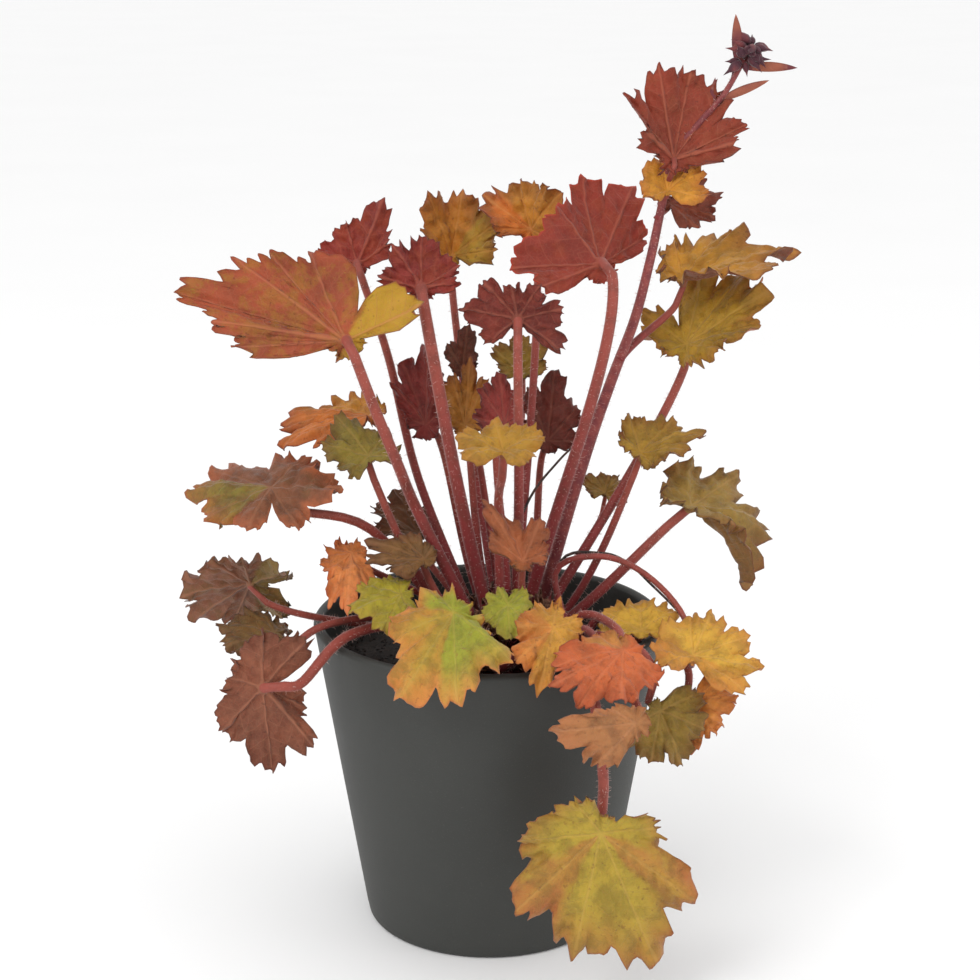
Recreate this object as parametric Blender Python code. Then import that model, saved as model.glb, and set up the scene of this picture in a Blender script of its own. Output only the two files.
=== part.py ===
"""Heuchera plant standing in its round pot: pot, soil, woody crown, leaves on their stalks, flower stem.

Millimetres are used throughout and turned into metres where the meshes are made. +Z is up, the front
of the plant looks along -Y, and the origin is the centre of the pot's base on the floor.
"""
import bpy
import numpy as np

MM = 0.001

# Pot
POT_HEIGHT = 135.3
POT_BASE_RADIUS = 52.9
POT_RIM_RADIUS = 75.0
POT_WALL = 2.4
POT_LIP = 4.4
POT_FLOOR = 3.0
POT_FOOT_FILLET = 2.5
POT_CORNER = 3.0
POT_LIP_DEPTH = 7.0
POT_LIP_FOOT = 10.0
POT_SIDES = 40

# Soil and crown
GAP = 0.3
SOIL_EDGE_HEIGHT = 113.0
SOIL_MIDDLE_HEIGHT = 117.0
SOIL_STEP_HEIGHT = 114.2
SOIL_STEP_SHARE = 0.78
SOIL_MIDDLE_SHARE = 0.55
CROWN_CENTRE = np.array([8.0, 2.0, 118.0])
CROWN_RADIUS = 26.0
CROWN_RISE = 22.0
CROWN_PLUG_DEPTH = 14.0
CROWN_SIDES = 24
CROWN_BEVEL = 1.0
CROWN_TILTS = [90, 75, 60, 45, 30, 15]

# Stalks in the crown: each ring's angle from straight up, with the number of stalks it takes
CROWN_RINGS = [(0, 1), (21, 6), (39, 10), (57, 13), (76, 14)]
STALK_SPACING = 7.2
HOLE_DEPTH = 5.6
HOLE_RISE = 4.0
HOLE_SIDES = 6
STALK_SUNK = 5.0
STALK_CLEAR = 0.35
STALK_RINGS = 4
STALK_NECK = 9.0

# Blades
BLADE_THICKNESS = 0.8
NOTCH = 0.2
SHOULDER = 0.60
SINUS_REACH = 0.2
SINUS_LONGEST = 8.5
TOOTH = 0.075
TEETH = 1.6
NOTCH_FALL = 2.9
SINUS_FALL = 2.6
BEND_GROWTH = 1.4
RUFFLE_GROWTH = 2.2
RUFFLE_WAVES = (7, 10)
RUFFLE_SHARES = (0.62, 0.38)
SINUS_CALM = 0.7
UNEVEN_BEND = 8.0
WIDE_SINUS = 0.9
DEEP_NOTCH = 0.4
RING_SHARES = (0.0, 0.34, 0.70, 1.0)
SPOKE_SHARES = (0.31, 0.62)
HUB_SIDES = 5
HUB_WIDTH = 1.5
HUB_DROP = 1.1
HUB_CLEAR = 1.6
UNDER_HUB = 0.8
LEAST_STEEP = 0.6

RED = (0.26, 0.045, 0.03, 1)
BROWN = (0.18, 0.07, 0.03, 1)
ORANGE = (0.5, 0.17, 0.04, 1)
AMBER = (0.5, 0.27, 0.03, 1)
YELLOW = (0.5, 0.4, 0.04, 1)
OLIVE = (0.26, 0.22, 0.03, 1)
GREEN = (0.38, 0.44, 0.06, 1)
SALMON = (0.6, 0.25, 0.13, 1)
COPPER = (0.3, 0.1, 0.06, 1)


def leaf(name, heart, colour, stalk, seed, tips, curl=-15, ruffle=0.08, via=(), notch=NOTCH,
         shoulder=SHOULDER):
    """One leaf: the point where the stalk meets the blade, and the tips of its lobes.

    The tips go round counter-clockwise seen from above the leaf. curl is how far each lobe bends up
    (down where negative) between heart and tip in degrees, ruffle the height of the waves at the edge
    as a share of the blade, stalk the stalk's radius, and via the points that the stalk passes through.
    notch is how deep the blade is cut between lobes, one share for all or one for each gap, and shoulder
    how far round the blade runs past its first and last lobe before it falls back to the heart.
    """
    return dict(name=name, heart=np.array(heart, float), colour=colour, stalk=stalk, seed=seed,
                tips=np.array(tips, float), curl=curl, ruffle=ruffle, via=via, notch=notch,
                shoulder=shoulder)


LEAVES = [
    leaf("upper_left_red", (-58, -20, 259), RED, 2.3, 3, curl=(-20, -15, -15, -18, -20, -25, -20),
         ruffle=0.04, notch=(0.12, 0.12, 0.12, 0.1, 0.12, 0.6), shoulder=0.3,
         via=[(-30, -10, 185), (-37, -24, 208), (-47, -30, 236)],
         tips=[(-103, -38, 260), (-114, -36, 271), (-131, -32, 283), (-102, -26, 295), (-90, -22, 299),
               (-73, -16, 296), (-25, -14, 273)]),
    leaf("upper_mid_red", (-56, 36, 281), RED, 1.8, 4, curl=(0, -10, -15, 0, -40), ruffle=0.06,
         via=[(-31, 27, 190), (-43, 34, 240)],
         tips=[(-72, 28, 279), (-74, 34, 287), (-62, 42, 299), (-44, 42, 309), (-40, 34, 292)]),
    leaf("tall_pink_stalk", (-28, 5, 276), RED, 2.6, 5, curl=-10, ruffle=0.1,
         tips=[(-46, 0, 282), (-40, 4, 295), (-28, 8, 299), (-11, 4, 286), (-11, 0, 280)]),
    leaf("top_mustard", (-16, 45, 283), AMBER, 1.7, 6, ruffle=0.1,
         tips=[(5, 32, 288), (8, 40, 302), (-11, 50, 312), (-26, 42, 312), (-28, 32, 292)]),
    leaf("top_orange", (18, 36, 296), ORANGE, 1.7, 7, curl=-25, ruffle=0.13,
         tips=[(27, 26, 293), (30, 24, 314), (13, 41, 317), (-4, 44, 311), (1, 32, 297)]),
    leaf("big_red_funnel", (46, 10, 285), RED, 2.4, 8, curl=-12, ruffle=0.05, notch=0.16, shoulder=0.35,
         tips=[(17, -5, 277), (7, 0, 286), (28, 14, 311), (38, 30, 321), (62, 38, 316), (69, 34, 295)]),
    leaf("right_olive", (84, 22, 249), OLIVE, 2.0, 10, notch=(0.2, 0.25, 0.2, 0.15, 0.25, 0.7, 0.2),
         tips=[(85, 8, 241), (98, 4, 250), (115, 8, 261), (121, 18, 274), (112, 32, 283), (94, 42, 278),
               (66, 36, 260), (73, 18, 247)]),
    leaf("right_small_olive", (64, 5, 206), OLIVE, 1.6, 11, curl=(-15, -20, -60, -20, -10, -20),
         tips=[(70, -6, 202), (85, -8, 212), (93, 4, 214), (80, 16, 218), (60, 16, 220), (54, 4, 214)]),
    leaf("right_drooping", (86, 0, 184), OLIVE, 2.1, 12, curl=(-30, -45, -60, -15, 20, 0),
         tips=[(103, -24, 183), (115, -6, 147), (122, 14, 169), (108, 26, 190), (88, 22, 199),
               (72, 0, 188)]),
    leaf("back_small_olive", (52, 50, 176), OLIVE, 1.1, 13,
         tips=[(60, 40, 172), (64, 44, 182), (54, 56, 183), (41, 52, 183), (44, 44, 177)]),
    leaf("mid_red_right", (12, -9, 266), RED, 2.0, 14, curl=-20, shoulder=0.3,
         tips=[(-2, -13, 256), (-12, -15, 272), (-3, -15, 283), (9, -14, 282), (21, -14, 281),
               (31, -15, 271), (32, -16, 253)]),
    leaf("mid_red_left", (-27, 22, 214), RED, 1.7, 15, curl=0,
         tips=[(-21, 20, 220), (-20, 16, 239), (-26, 22, 252), (-38, 26, 243), (-42, 28, 232),
               (-37, 24, 217)]),
    leaf("inner_brown", (-11, 25, 237), BROWN, 1.5, 16, curl=0, ruffle=0.04, notch=0.27,
         tips=[(-5, 22, 242), (-9, 30, 257), (-18, 26, 249), (-16, 22, 238)]),
    leaf("inner_mustard", (-10, 12, 216), AMBER, 1.6, 17, curl=5, notch=0.27,
         tips=[(1, 8, 219), (-1, 14, 237), (-8, 20, 245), (-16, 18, 238), (-18, 10, 220)]),
    leaf("inner_red", (7, 2, 219), RED, 1.6, 18, curl=8, ruffle=0.1,
         tips=[(14, 6, 220), (13, 8, 235), (5, 4, 242), (-4, -2, 237), (-6, -4, 223)]),
    leaf("inner_olive", (15, 58, 229), OLIVE, 1.4, 19, curl=3, ruffle=0.06,
         tips=[(26, 53, 232), (25, 59, 244), (14, 63, 246), (1, 59, 241), (4, 53, 230)]),
    leaf("right_dark_red", (26, 38, 203), BROWN, 1.6, 20, curl=-5,
         tips=[(39, 36, 203), (40, 42, 218), (29, 46, 235), (17, 40, 227), (15, 34, 209)]),
    leaf("centre_yellow", (6, -36, 217), YELLOW, 1.9, 21, curl=-45,
         via=[(5, -16, 150), (4, -20, 190)],
         tips=[(15, -52, 215), (24, -34, 225), (2, -22, 226), (-14, -34, 223), (-11, -50, 217)]),
    leaf("low_centre_brown", (14, -38, 171), BROWN, 1.6, 22, curl=-20, ruffle=0.06,
         tips=[(25, -42, 176), (22, -28, 187), (7, -24, 187), (-3, -26, 195), (-1, -34, 182)]),
    leaf("left_orange", (-51, 19, 219), ORANGE, 1.6, 24, curl=(-20, -30, -40, -50, -40),
         via=[(-36, 14, 190), (-43, 15, 212)],
         tips=[(-57, 34, 225), (-73, 36, 220), (-91, 26, 212), (-92, 8, 206), (-70, -2, 209)]),
    leaf("left_olive", (-50, -12, 209), OLIVE, 1.7, 25, curl=-20,
         tips=[(-35, -14, 209), (-43, 0, 215), (-65, 2, 223), (-70, -10, 213), (-58, -24, 203)]),
    leaf("left_long", (-90, -18, 197), BROWN, 2.0, 26, curl=-25, ruffle=0.07,
         notch=(0.27, 0.27, 0.42, 0.2, 0.2, 0.35), via=[(-50, -4, 175)],
         tips=[(-77, -36, 183), (-59, -22, 197), (-76, 4, 205), (-119, 14, 193), (-129, -4, 192),
               (-117, -26, 184), (-98, -40, 184)]),
    leaf("left_dark", (-31, 27, 164), BROWN, 1.5, 27, curl=-20,
         tips=[(-25, 34, 171), (-42, 38, 182), (-52, 28, 177), (-50, 16, 169), (-36, 14, 164)]),
    leaf("left_low_brown", (-27, -18, 166), BROWN, 1.8, 28, curl=-25, notch=0.27,
         tips=[(-23, -14, 170), (-38, -14, 176), (-52, -20, 175), (-52, -27, 168), (-41, -32, 164)]),
    leaf("left_salmon", (-58, -9, 166), SALMON, 1.5, 29, ruffle=0.07,
         tips=[(-66, -3, 168), (-68, -21, 160), (-66, -35, 152), (-58, -41, 148), (-50, -27, 155)]),
    leaf("left_brown_flat", (-99, -22, 157), BROWN, 1.5, 30, curl=-8, ruffle=0.07,
         tips=[(-87, -6, 136), (-110, 0, 131), (-128, -4, 133), (-130, -18, 152), (-115, -36, 171),
               (-100, -44, 176), (-81, -40, 169)]),
    leaf("left_brown_small", (-89, -30, 138), BROWN, 1.7, 31, curl=-25,
         via=[(-38, -14, 139), (-68, -24, 139)],
         tips=[(-86, -12, 135), (-99, -13, 143), (-114, -27, 141), (-109, -45, 136), (-91, -54, 130)]),
    leaf("left_drooping", (-91, -60, 125), COPPER, 2.2, 32, curl=(-20, 20, -20, -25, -20, -25, -40),
         via=[(-36, -28, 140), (-59, -43, 140), (-75, -60, 127)],
         tips=[(-74, -52, 112), (-70, -58, 97), (-87, -70, 91), (-109, -66, 108), (-106, -62, 131),
               (-92, -58, 149), (-71, -54, 146)]),
    leaf("front_yellow_left", (-36, -34, 156), YELLOW, 1.8, 33, curl=-20, ruffle=0.05,
         tips=[(-37, -22, 160), (-54, -30, 159), (-57, -50, 153), (-42, -62, 148), (-30, -52, 149)]),
    leaf("front_green", (-14, -60, 157), GREEN, 2.2, 34, curl=-27,
         tips=[(-21, -46, 162), (-39, -72, 149), (-34, -100, 130), (-12, -104, 133), (10, -92, 146),
               (-3, -62, 152)]),
    leaf("front_small_green", (8, -42, 154), GREEN, 1.6, 35,
         tips=[(4, -34, 159), (-1, -50, 149), (9, -64, 146), (14, -54, 152), (14, -34, 159)]),
    leaf("front_right_yellow", (26, -64, 152), AMBER, 2.0, 36, curl=-20, via=[(16, -36, 142)],
         tips=[(27, -52, 159), (10, -68, 153), (10, -82, 142), (19, -91, 133), (31, -77, 144),
               (38, -62, 154)]),
    leaf("right_yellow", (63, -34, 140), YELLOW, 1.8, 37, curl=-8,
         tips=[(81, -32, 138), (79, -20, 146), (64, -14, 148), (47, -20, 145), (44, -32, 138)]),
    leaf("right_wide", (83, -50, 135), YELLOW, 1.3, 38, curl=-20,
         via=[(28, -12, 158), (46, -14, 166), (64, -16, 160), (79, -24, 147), (84, -34, 135)],
         tips=[(104, -70, 126), (112, -62, 133), (107, -48, 142), (93, -32, 148), (83, -32, 147),
               (68, -62, 135)]),
    leaf("front_orange", (53, -76, 147), ORANGE, 1.8, 39, ruffle=0.06,
         via=[(38, -32, 146), (52, -52, 147)],
         tips=[(41, -72, 152), (24, -94, 147), (22, -104, 140), (33, -107, 134), (50, -103, 133),
               (68, -86, 136)]),
    leaf("front_pale", (56, -109, 129), COPPER, 1.8, 40, curl=-22,
         via=[(35, -38, 142), (45, -60, 143), (59, -80, 124)],
         tips=[(45, -107, 135), (22, -113, 127), (39, -113, 112)]),
    leaf("right_olive_low", (69, -66, 117), OLIVE, 1.7, 41, curl=-20, ruffle=0.07,
         via=[(40, -40, 140), (58, -54, 141), (67, -55, 130)],
         tips=[(46, -84, 112), (64, -84, 101), (77, -80, 98), (88, -68, 110), (88, -54, 121)]),
    leaf("right_orange_low", (83, -50, 116), ORANGE, 1.7, 42, curl=-20,
         via=[(48, -12, 139), (71, -26, 138.5), (82, -38, 126)],
         tips=[(72, -66, 104), (82, -72, 100), (92, -66, 106), (102, -56, 118), (100, -44, 126)]),
    leaf("hanging", (44, -99, 79), YELLOW, 2.3, 43, curl=-12, ruffle=0.06,
         notch=(0.15, 0.15, 0.18, 0.12, 0.15, 0.25),
         via=[(27, -42, 139), (36, -66, 139), (42, -79, 125), (45, -91, 100)],
         tips=[(32, -101, 95), (11, -98, 75), (9, -99, 45), (33, -103, 26), (68, -101, 21),
               (83, -96, 49), (69, -93, 79)]),
]

# Flower stem: its line from the crown to the buds, its radius along it, and the small leaves on it
SCAPE_LINE = [(41, 14, 201), (52, 12, 236), (61, 10, 262), (67, 8, 288), (71, 6, 310), (75, 6, 330),
              (84, 6, 342), (95, 6, 355), (103, 6, 369)]
SCAPE_ROOT_RADIUS = 2.7
SCAPE_TIP_RADIUS = 1.0
SCAPE_LEAVES = [
    leaf("stem_red", (75, 3, 329), RED, 1.2, 51, curl=-15, notch=(0.2, 0.3, 0.05, 0.05, 0.28, 0.1),
         tips=[(61, -8, 344), (53, -6, 357), (68, 2, 369), (82, 8, 367), (97, 6, 359), (106, -2, 345),
               (101, -8, 338)]),
    leaf("stem_yellow", (73, 2, 317), AMBER, 1.2, 52, curl=-25,
         tips=[(89, -10, 314), (87, 2, 328), (81, 10, 332), (70, 9, 331), (63, -7, 315)]),
    leaf("stem_brown", (75, 8, 311), RED, 1.2, 53, curl=-20,
         tips=[(85, -2, 301), (94, 4, 305), (97, 14, 314), (91, 20, 319)]),
    leaf("branch_amber", (82, 25, 276), AMBER, 1.6, 9, curl=(-20, -20, -30, -40, 10, 10),
         tips=[(95, -6, 286), (118, -8, 287), (131, 14, 290), (105, 44, 295), (79, 42, 291),
               (72, 24, 280)]),
]
# Where each of those stalks leaves the stem, in the same order
SCAPE_JOINS = [(73, 6, 318), (71, 6, 312), (70, 6, 306), (56, 11, 246)]

# Bracts at the stem's tip: where each starts and ends, and its half width
BRACTS = [((101, 5.7, 365), (99, 6, 387), 1.9), ((102.5, 6.4, 366), (124, 3, 366), 1.7),
          ((94, 6.3, 353), (113, 4, 361), 1.5), ((90, 5.6, 349), (91.5, 6, 362), 1.1)]
# Buds along the line where the stem ends
BUD_AXIS = [(102, 6, 368), (107, 6, 376)]
BUD_COUNT = 6
BUD_LENGTH = 8.5
BUD_WIDTH = 1.9
BUD_SPREAD = 8.0
BUD_SEED = 77


def clear_scene():
    """Remove every object that the file was opened with."""
    for item in list(bpy.data.objects):
        bpy.data.objects.remove(item, do_unlink=True)


def material(name, colour, roughness):
    """A plain surface of one colour."""
    made = bpy.data.materials.new(name)
    made.use_nodes = True
    shader = made.node_tree.nodes["Principled BSDF"]
    shader.inputs["Base Color"].default_value = colour
    shader.inputs["Roughness"].default_value = roughness
    return made


def mesh_object(name, vertices, faces, colour, roughness=0.5):
    """An object of one mesh, its vertices given in millimetres, shaded smooth."""
    mesh = bpy.data.meshes.new(name)
    mesh.from_pydata([tuple(p * MM) for p in vertices], [], [tuple(int(i) for i in f) for f in faces])
    mesh.materials.append(material(name, colour, roughness))
    mesh.shade_smooth()
    mesh.set_sharp_from_angle(angle=np.radians(50))
    made = bpy.data.objects.new(name, mesh)
    bpy.context.scene.collection.objects.link(made)
    return made


def unit(v):
    """The same direction with length 1, along the last axis."""
    v = np.asarray(v, float)
    return v / np.linalg.norm(v, axis=-1, keepdims=True)


def turned(profile, sides, centre=(0, 0, 0)):
    """A turned solid. The profile runs counter-clockwise in (radius, height), from axis to axis."""
    centre = np.array(centre, float)
    turn = 2 * np.pi * np.arange(sides) / sides
    vertices = [centre + (0, 0, profile[0][1])]
    for radius, height in profile[1:-1]:
        ring = np.stack([radius * np.cos(turn), radius * np.sin(turn), np.full(sides, height)], 1)
        vertices += list(centre + ring)
    vertices.append(centre + (0, 0, profile[-1][1]))
    faces = []
    last = len(vertices) - 1
    for i in range(sides):
        k = (i + 1) % sides
        faces.append((0, 1 + k, 1 + i))
        for ring in range(len(profile) - 3):
            low = 1 + ring * sides
            faces.append((low + i, low + k, low + sides + k, low + sides + i))
        faces.append((last, last - sides + i, last - sides + k))
    return np.array(vertices), faces


def arc(centre, radius, start, end, steps):
    """Points (radius, height) along an arc, its angles in degrees."""
    turn = np.radians(np.linspace(start, end, steps + 1))
    return [(centre[0] + radius * np.cos(a), centre[1] + radius * np.sin(a)) for a in turn]


def pot_outside(height):
    """Outer radius of the tapered wall at a height."""
    return POT_BASE_RADIUS + (POT_RIM_RADIUS - POT_BASE_RADIUS) * height / POT_HEIGHT


def build_pot():
    """Tapered pot with a closed flat base and a rounded, thicker lip."""
    half = POT_LIP / 2
    lip_centre = (POT_RIM_RADIUS - half, POT_HEIGHT - half)
    inside = lip_centre[0] - half
    lip_foot = POT_HEIGHT - POT_LIP_FOOT
    corner = POT_FLOOR + POT_CORNER
    foot = POT_FOOT_FILLET
    profile = [(0, 0), (POT_BASE_RADIUS - foot, 0), (pot_outside(foot), foot)]
    profile += arc(lip_centre, half, 0, 180, 6)
    profile += [(inside, POT_HEIGHT - POT_LIP_DEPTH), (pot_outside(lip_foot) - POT_WALL, lip_foot)]
    profile += [(pot_outside(corner) - POT_WALL, corner)]
    profile += [(pot_outside(POT_FLOOR) - POT_WALL - POT_CORNER, POT_FLOOR), (0, POT_FLOOR)]
    vertices, faces = turned(profile, POT_SIDES)
    return mesh_object("pot", vertices, faces, (0.06, 0.062, 0.058, 1), 0.55)


def build_soil():
    """The pot's filling, a little higher in the middle, with a well that the crown stands in."""
    wall = POT_WALL + GAP
    hole = CROWN_RADIUS + GAP
    bottom = POT_FLOOR + GAP
    well = CROWN_CENTRE[2] - CROWN_PLUG_DEPTH - GAP
    edge = pot_outside(SOIL_EDGE_HEIGHT) - wall
    corner = POT_CORNER + GAP
    profile = [(0, bottom), (pot_outside(POT_FLOOR) - wall - corner, bottom)]
    profile += [(pot_outside(POT_FLOOR + corner) - wall, POT_FLOOR + corner), (edge, SOIL_EDGE_HEIGHT)]
    profile += [(SOIL_STEP_SHARE * edge, SOIL_STEP_HEIGHT), (SOIL_MIDDLE_SHARE * edge, SOIL_MIDDLE_HEIGHT)]
    profile += [(0, SOIL_MIDDLE_HEIGHT)]
    vertices, faces = turned(profile, POT_SIDES)
    soil = mesh_object("soil", vertices, faces, (0.012, 0.01, 0.009, 1), 0.95)
    above = CROWN_CENTRE[2] + CROWN_RISE
    cutter_profile = [(0, well), (hole, well), (hole, above), (0, above)]
    vertices, faces = turned(cutter_profile, CROWN_SIDES, (CROWN_CENTRE[0], CROWN_CENTRE[1], 0))
    cutter = mesh_object("soil_well", vertices, faces, (1, 1, 1, 1))
    cut(soil, cutter)
    return soil


def cut(solid, cutter):
    """Take the cutter's shape out of the solid."""
    cutter.hide_render = True
    cutter.display_type = "WIRE"
    boolean = solid.modifiers.new("cut", "BOOLEAN")
    boolean.operation = "DIFFERENCE"
    boolean.solver = "EXACT"
    boolean.object = cutter


def crown_place(tilt, turn):
    """Point of the crown's dome, and the direction straight out of it there."""
    out = np.array([np.sin(tilt) * np.cos(turn), np.sin(tilt) * np.sin(turn), np.cos(tilt)])
    size = np.array([CROWN_RADIUS, CROWN_RADIUS, CROWN_RISE])
    return CROWN_CENTRE + size * out, unit(out / size)


def spread_round(angles, least):
    """Angles round a circle, in rising order, pushed apart until neighbours are far enough apart."""
    for _ in range(300):
        gaps = np.roll(angles, -1) - angles
        gaps[-1] += 2 * np.pi
        push = np.maximum(least - gaps, 0) / 2
        angles = angles - push + np.roll(push, 1)
    return angles


def stalk_roots(goals):
    """Where each stalk leaves the crown and which way it points, for the stalks' goals in order.

    The most upright stalks stand in the middle. Round each ring they follow the way they lean, as
    far as their spacing allows.
    """
    away = np.array(goals) - (CROWN_CENTRE + (0, 0, 10))
    lean = np.arctan2(np.hypot(away[:, 0], away[:, 1]), away[:, 2])
    compass = np.arctan2(away[:, 1], away[:, 0])
    order = list(np.argsort(lean, kind="stable"))
    roots = {}
    for tilt, places in CROWN_RINGS:
        members = sorted(order[:places], key=lambda i: compass[i])
        order = order[places:]
        if not members:
            break
        spacing = STALK_SPACING / (CROWN_RADIUS * np.sin(np.radians(tilt)) + 0.01)
        turns = spread_round(compass[members], min(spacing, 2 * np.pi / len(members)))
        for i, turn in zip(members, turns):
            point, out = crown_place(np.radians(tilt), turn)
            roots[i] = (point, unit(0.55 * out + 0.45 * unit(goals[i] - point)))
    return [roots[i] for i in range(len(goals))]


def build_crown(roots, radii):
    """Woody dome that the stalks grow from, with a plain blind hole for each of them."""
    base = CROWN_CENTRE[2] - CROWN_PLUG_DEPTH
    profile = [(0, base), (CROWN_RADIUS - CROWN_BEVEL, base), (CROWN_RADIUS, base + CROWN_BEVEL)]
    for tilt in np.radians(CROWN_TILTS):
        profile.append((CROWN_RADIUS * np.sin(tilt), CROWN_CENTRE[2] + CROWN_RISE * np.cos(tilt)))
    profile.append((0, CROWN_CENTRE[2] + CROWN_RISE))
    vertices, faces = turned(profile, CROWN_SIDES, (CROWN_CENTRE[0], CROWN_CENTRE[1], 0))
    crown = mesh_object("crown", vertices, faces, (0.11, 0.055, 0.035, 1), 0.85)
    sides = HOLE_SIDES
    turn = 2 * np.pi * np.arange(sides) / sides
    vertices = []
    faces = []
    for (point, out), radius in zip(roots, radii):
        across = unit(np.cross(out, (0.31, 0.95, 0.05)))
        other = np.cross(out, across)
        width = (radius + STALK_CLEAR) / np.cos(np.pi / sides)
        ring = width * (np.cos(turn)[:, None] * across + np.sin(turn)[:, None] * other)
        first = len(vertices)
        vertices += list(point - out * HOLE_DEPTH + ring) + list(point + out * HOLE_RISE + ring)
        for i in range(sides):
            k = (i + 1) % sides
            faces.append((first + i, first + k, first + sides + k, first + sides + i))
        faces.append(tuple(first + i for i in reversed(range(sides))))
        faces.append(tuple(first + sides + i for i in range(sides)))
    cutter = mesh_object("stalk_holes", np.array(vertices), faces, (1, 1, 1, 1))
    cut(crown, cutter)
    crown.modifiers["cut"].use_self = True
    return crown


def blade_frame(row):
    """The blade's own axes and, for each lobe, its angle round the heart, reach, slope and bend."""
    spread = row["tips"] - row["heart"]
    up = unit(np.cross(spread[:-1], spread[1:]).sum(0))
    flat = spread - np.outer(spread @ up, up)
    middle = unit(flat[len(flat) // 2])
    angles = np.unwrap(np.arctan2(flat @ np.cross(up, middle), flat @ middle))
    centre = (angles[0] + angles[-1]) / 2
    along = np.cos(centre) * middle + np.sin(centre) * np.cross(up, middle)
    length = np.linalg.norm(spread, axis=1)
    jitter = np.random.default_rng(row["seed"] + 50).uniform(-1, 1, len(length))
    bend = np.radians(np.broadcast_to(row["curl"], len(length)) + UNEVEN_BEND * jitter)
    mean_bend = bend / (1 + BEND_GROWTH)
    return dict(
        heart=row["heart"], up=up, along=along, across=np.cross(up, along), size=length.max(),
        angles=angles - centre, reach=length / length.max() * (1 + bend ** 2 / 60),
        slope=np.arcsin(np.clip(spread @ up / length, -1, 1)) - mean_bend, bend=bend,
        ruffle=row["ruffle"], notch=np.broadcast_to(row["notch"], len(length) - 1),
        shoulder=row["shoulder"], hub=HUB_WIDTH * row["stalk"],
        phase=np.random.default_rng(row["seed"]).uniform(0, 2 * np.pi, 2))


def round_lobes(frame, theta, values):
    """A value given for each lobe, eased from lobe to lobe, and to their mean at the sinus."""
    angles = np.concatenate([[-np.pi], frame["angles"], [np.pi]])
    sinus = 0.5 * (values[0] + values[-1])
    values = np.concatenate([[sinus], values, [sinus]])
    i = np.clip(np.searchsorted(angles, theta, side="right") - 1, 0, len(angles) - 2)
    share = (theta - angles[i]) / (angles[i + 1] - angles[i])
    ease = 0.5 - 0.5 * np.cos(np.pi * share)
    return values[i] * (1 - ease) + values[i + 1] * ease


def lobe_borders(frame):
    """Angles halfway between lobes, with the sinus at both ends."""
    angles = frame["angles"]
    return np.concatenate([[-np.pi], (angles[1:] + angles[:-1]) / 2, [np.pi]])


def edge_reach(frame, theta):
    """How far the blade's edge lies from the heart: rounded lobes with blunt teeth and a deep sinus."""
    angles = frame["angles"]
    last = len(angles) - 1
    borders = lobe_borders(frame)
    i = np.clip(np.searchsorted(borders, theta, side="right") - 1, 0, last)
    basal = ((i == 0) & (theta < angles[0])) | ((i == last) & (theta > angles[-1]))
    half = np.where(theta < angles[i], angles[i] - borders[i], borders[i + 1] - angles[i])
    half = np.where(basal, np.minimum(half, frame["shoulder"]), half)
    out = np.abs(theta - angles[i]) / half
    full = round_lobes(frame, theta, frame["reach"])
    sinus = max(min(SINUS_REACH, SINUS_LONGEST / frame["size"]), HUB_CLEAR * frame["hub"] / frame["size"])
    gap = np.clip(np.where(theta < angles[i], i - 1, i), 0, last - 1)
    depth = np.where(basal, 1 - sinus / full, frame["notch"][gap])
    lobed = full * (1 - depth * np.minimum(out, 1) ** np.where(basal, SINUS_FALL, NOTCH_FALL))
    tooth = 1 - np.abs(np.cos(TEETH * np.pi * out)) ** 0.8
    return lobed * (1 - TOOTH * tooth * np.where(basal, np.clip(1 - out, 0, 1), 1.0))


def blade_point(frame, theta, rho):
    """Points of the upper face at angle theta and share rho of the way from heart to edge."""
    nodes, weights = np.polynomial.legendre.leggauss(6)
    nodes = (nodes + 1) / 2
    weights = weights / 2
    reach = edge_reach(frame, theta) * frame["size"]
    slope = round_lobes(frame, theta, frame["slope"])
    bend = round_lobes(frame, theta, frame["bend"])
    heading = slope[:, None] + bend[:, None] * (rho[:, None] * nodes) ** BEND_GROWTH
    outward = rho * (weights * np.cos(heading)).sum(1) * reach
    upward = rho * (weights * np.sin(heading)).sum(1) * reach
    end = slope + bend * rho ** BEND_GROWTH
    wave = sum(share * np.sin(number * theta + phase)
               for share, number, phase in zip(RUFFLE_SHARES, RUFFLE_WAVES, frame["phase"]))
    wave *= np.clip((np.pi - np.abs(theta)) / SINUS_CALM, 0, 1)
    lift = frame["ruffle"] * frame["size"] * rho ** RUFFLE_GROWTH * wave
    outward = outward - lift * np.sin(end)
    upward = upward + lift * np.cos(end)
    ray = np.cos(theta)[:, None] * frame["along"] + np.sin(theta)[:, None] * frame["across"]
    return frame["heart"] + outward[:, None] * ray + upward[:, None] * frame["up"]


def blade_rings(frame):
    """Rings of the blade's mesh as angles and shares of the reach, from the hub to the edge."""
    angles = frame["angles"]
    borders = lobe_borders(frame)
    between = borders[1:-1]
    beside = (np.pi - angles[-1]) / 2
    flanks = [beside - np.pi, np.pi - beside] if beside > WIDE_SINUS else []
    edge = [-np.pi] + flanks
    for i, angle in enumerate(angles):
        low = min(angle - borders[i], frame["shoulder"] * 1.25 if i == 0 else np.pi)
        high = min(borders[i + 1] - angle, frame["shoulder"] * 1.25 if i == len(angles) - 1 else np.pi)
        edge += [angle - share * low for share in SPOKE_SHARES] + [angle]
        edge += [angle + share * high for share in SPOKE_SHARES]
        if i < len(angles) - 1:
            edge.append(borders[i + 1])
    hub = -np.pi + 2 * np.pi * np.arange(HUB_SIDES) / HUB_SIDES
    clefts = between[frame["notch"] > DEEP_NOTCH]
    lobes = np.sort(np.concatenate([[-np.pi], flanks, angles, clefts]))
    shares = []
    for theta, share in zip((hub, lobes, np.union1d(lobes, between), np.sort(edge)), RING_SHARES):
        start = frame["hub"] / (edge_reach(frame, theta) * frame["size"])
        shares.append((theta, start + (1 - start) * share))
    return shares


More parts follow.
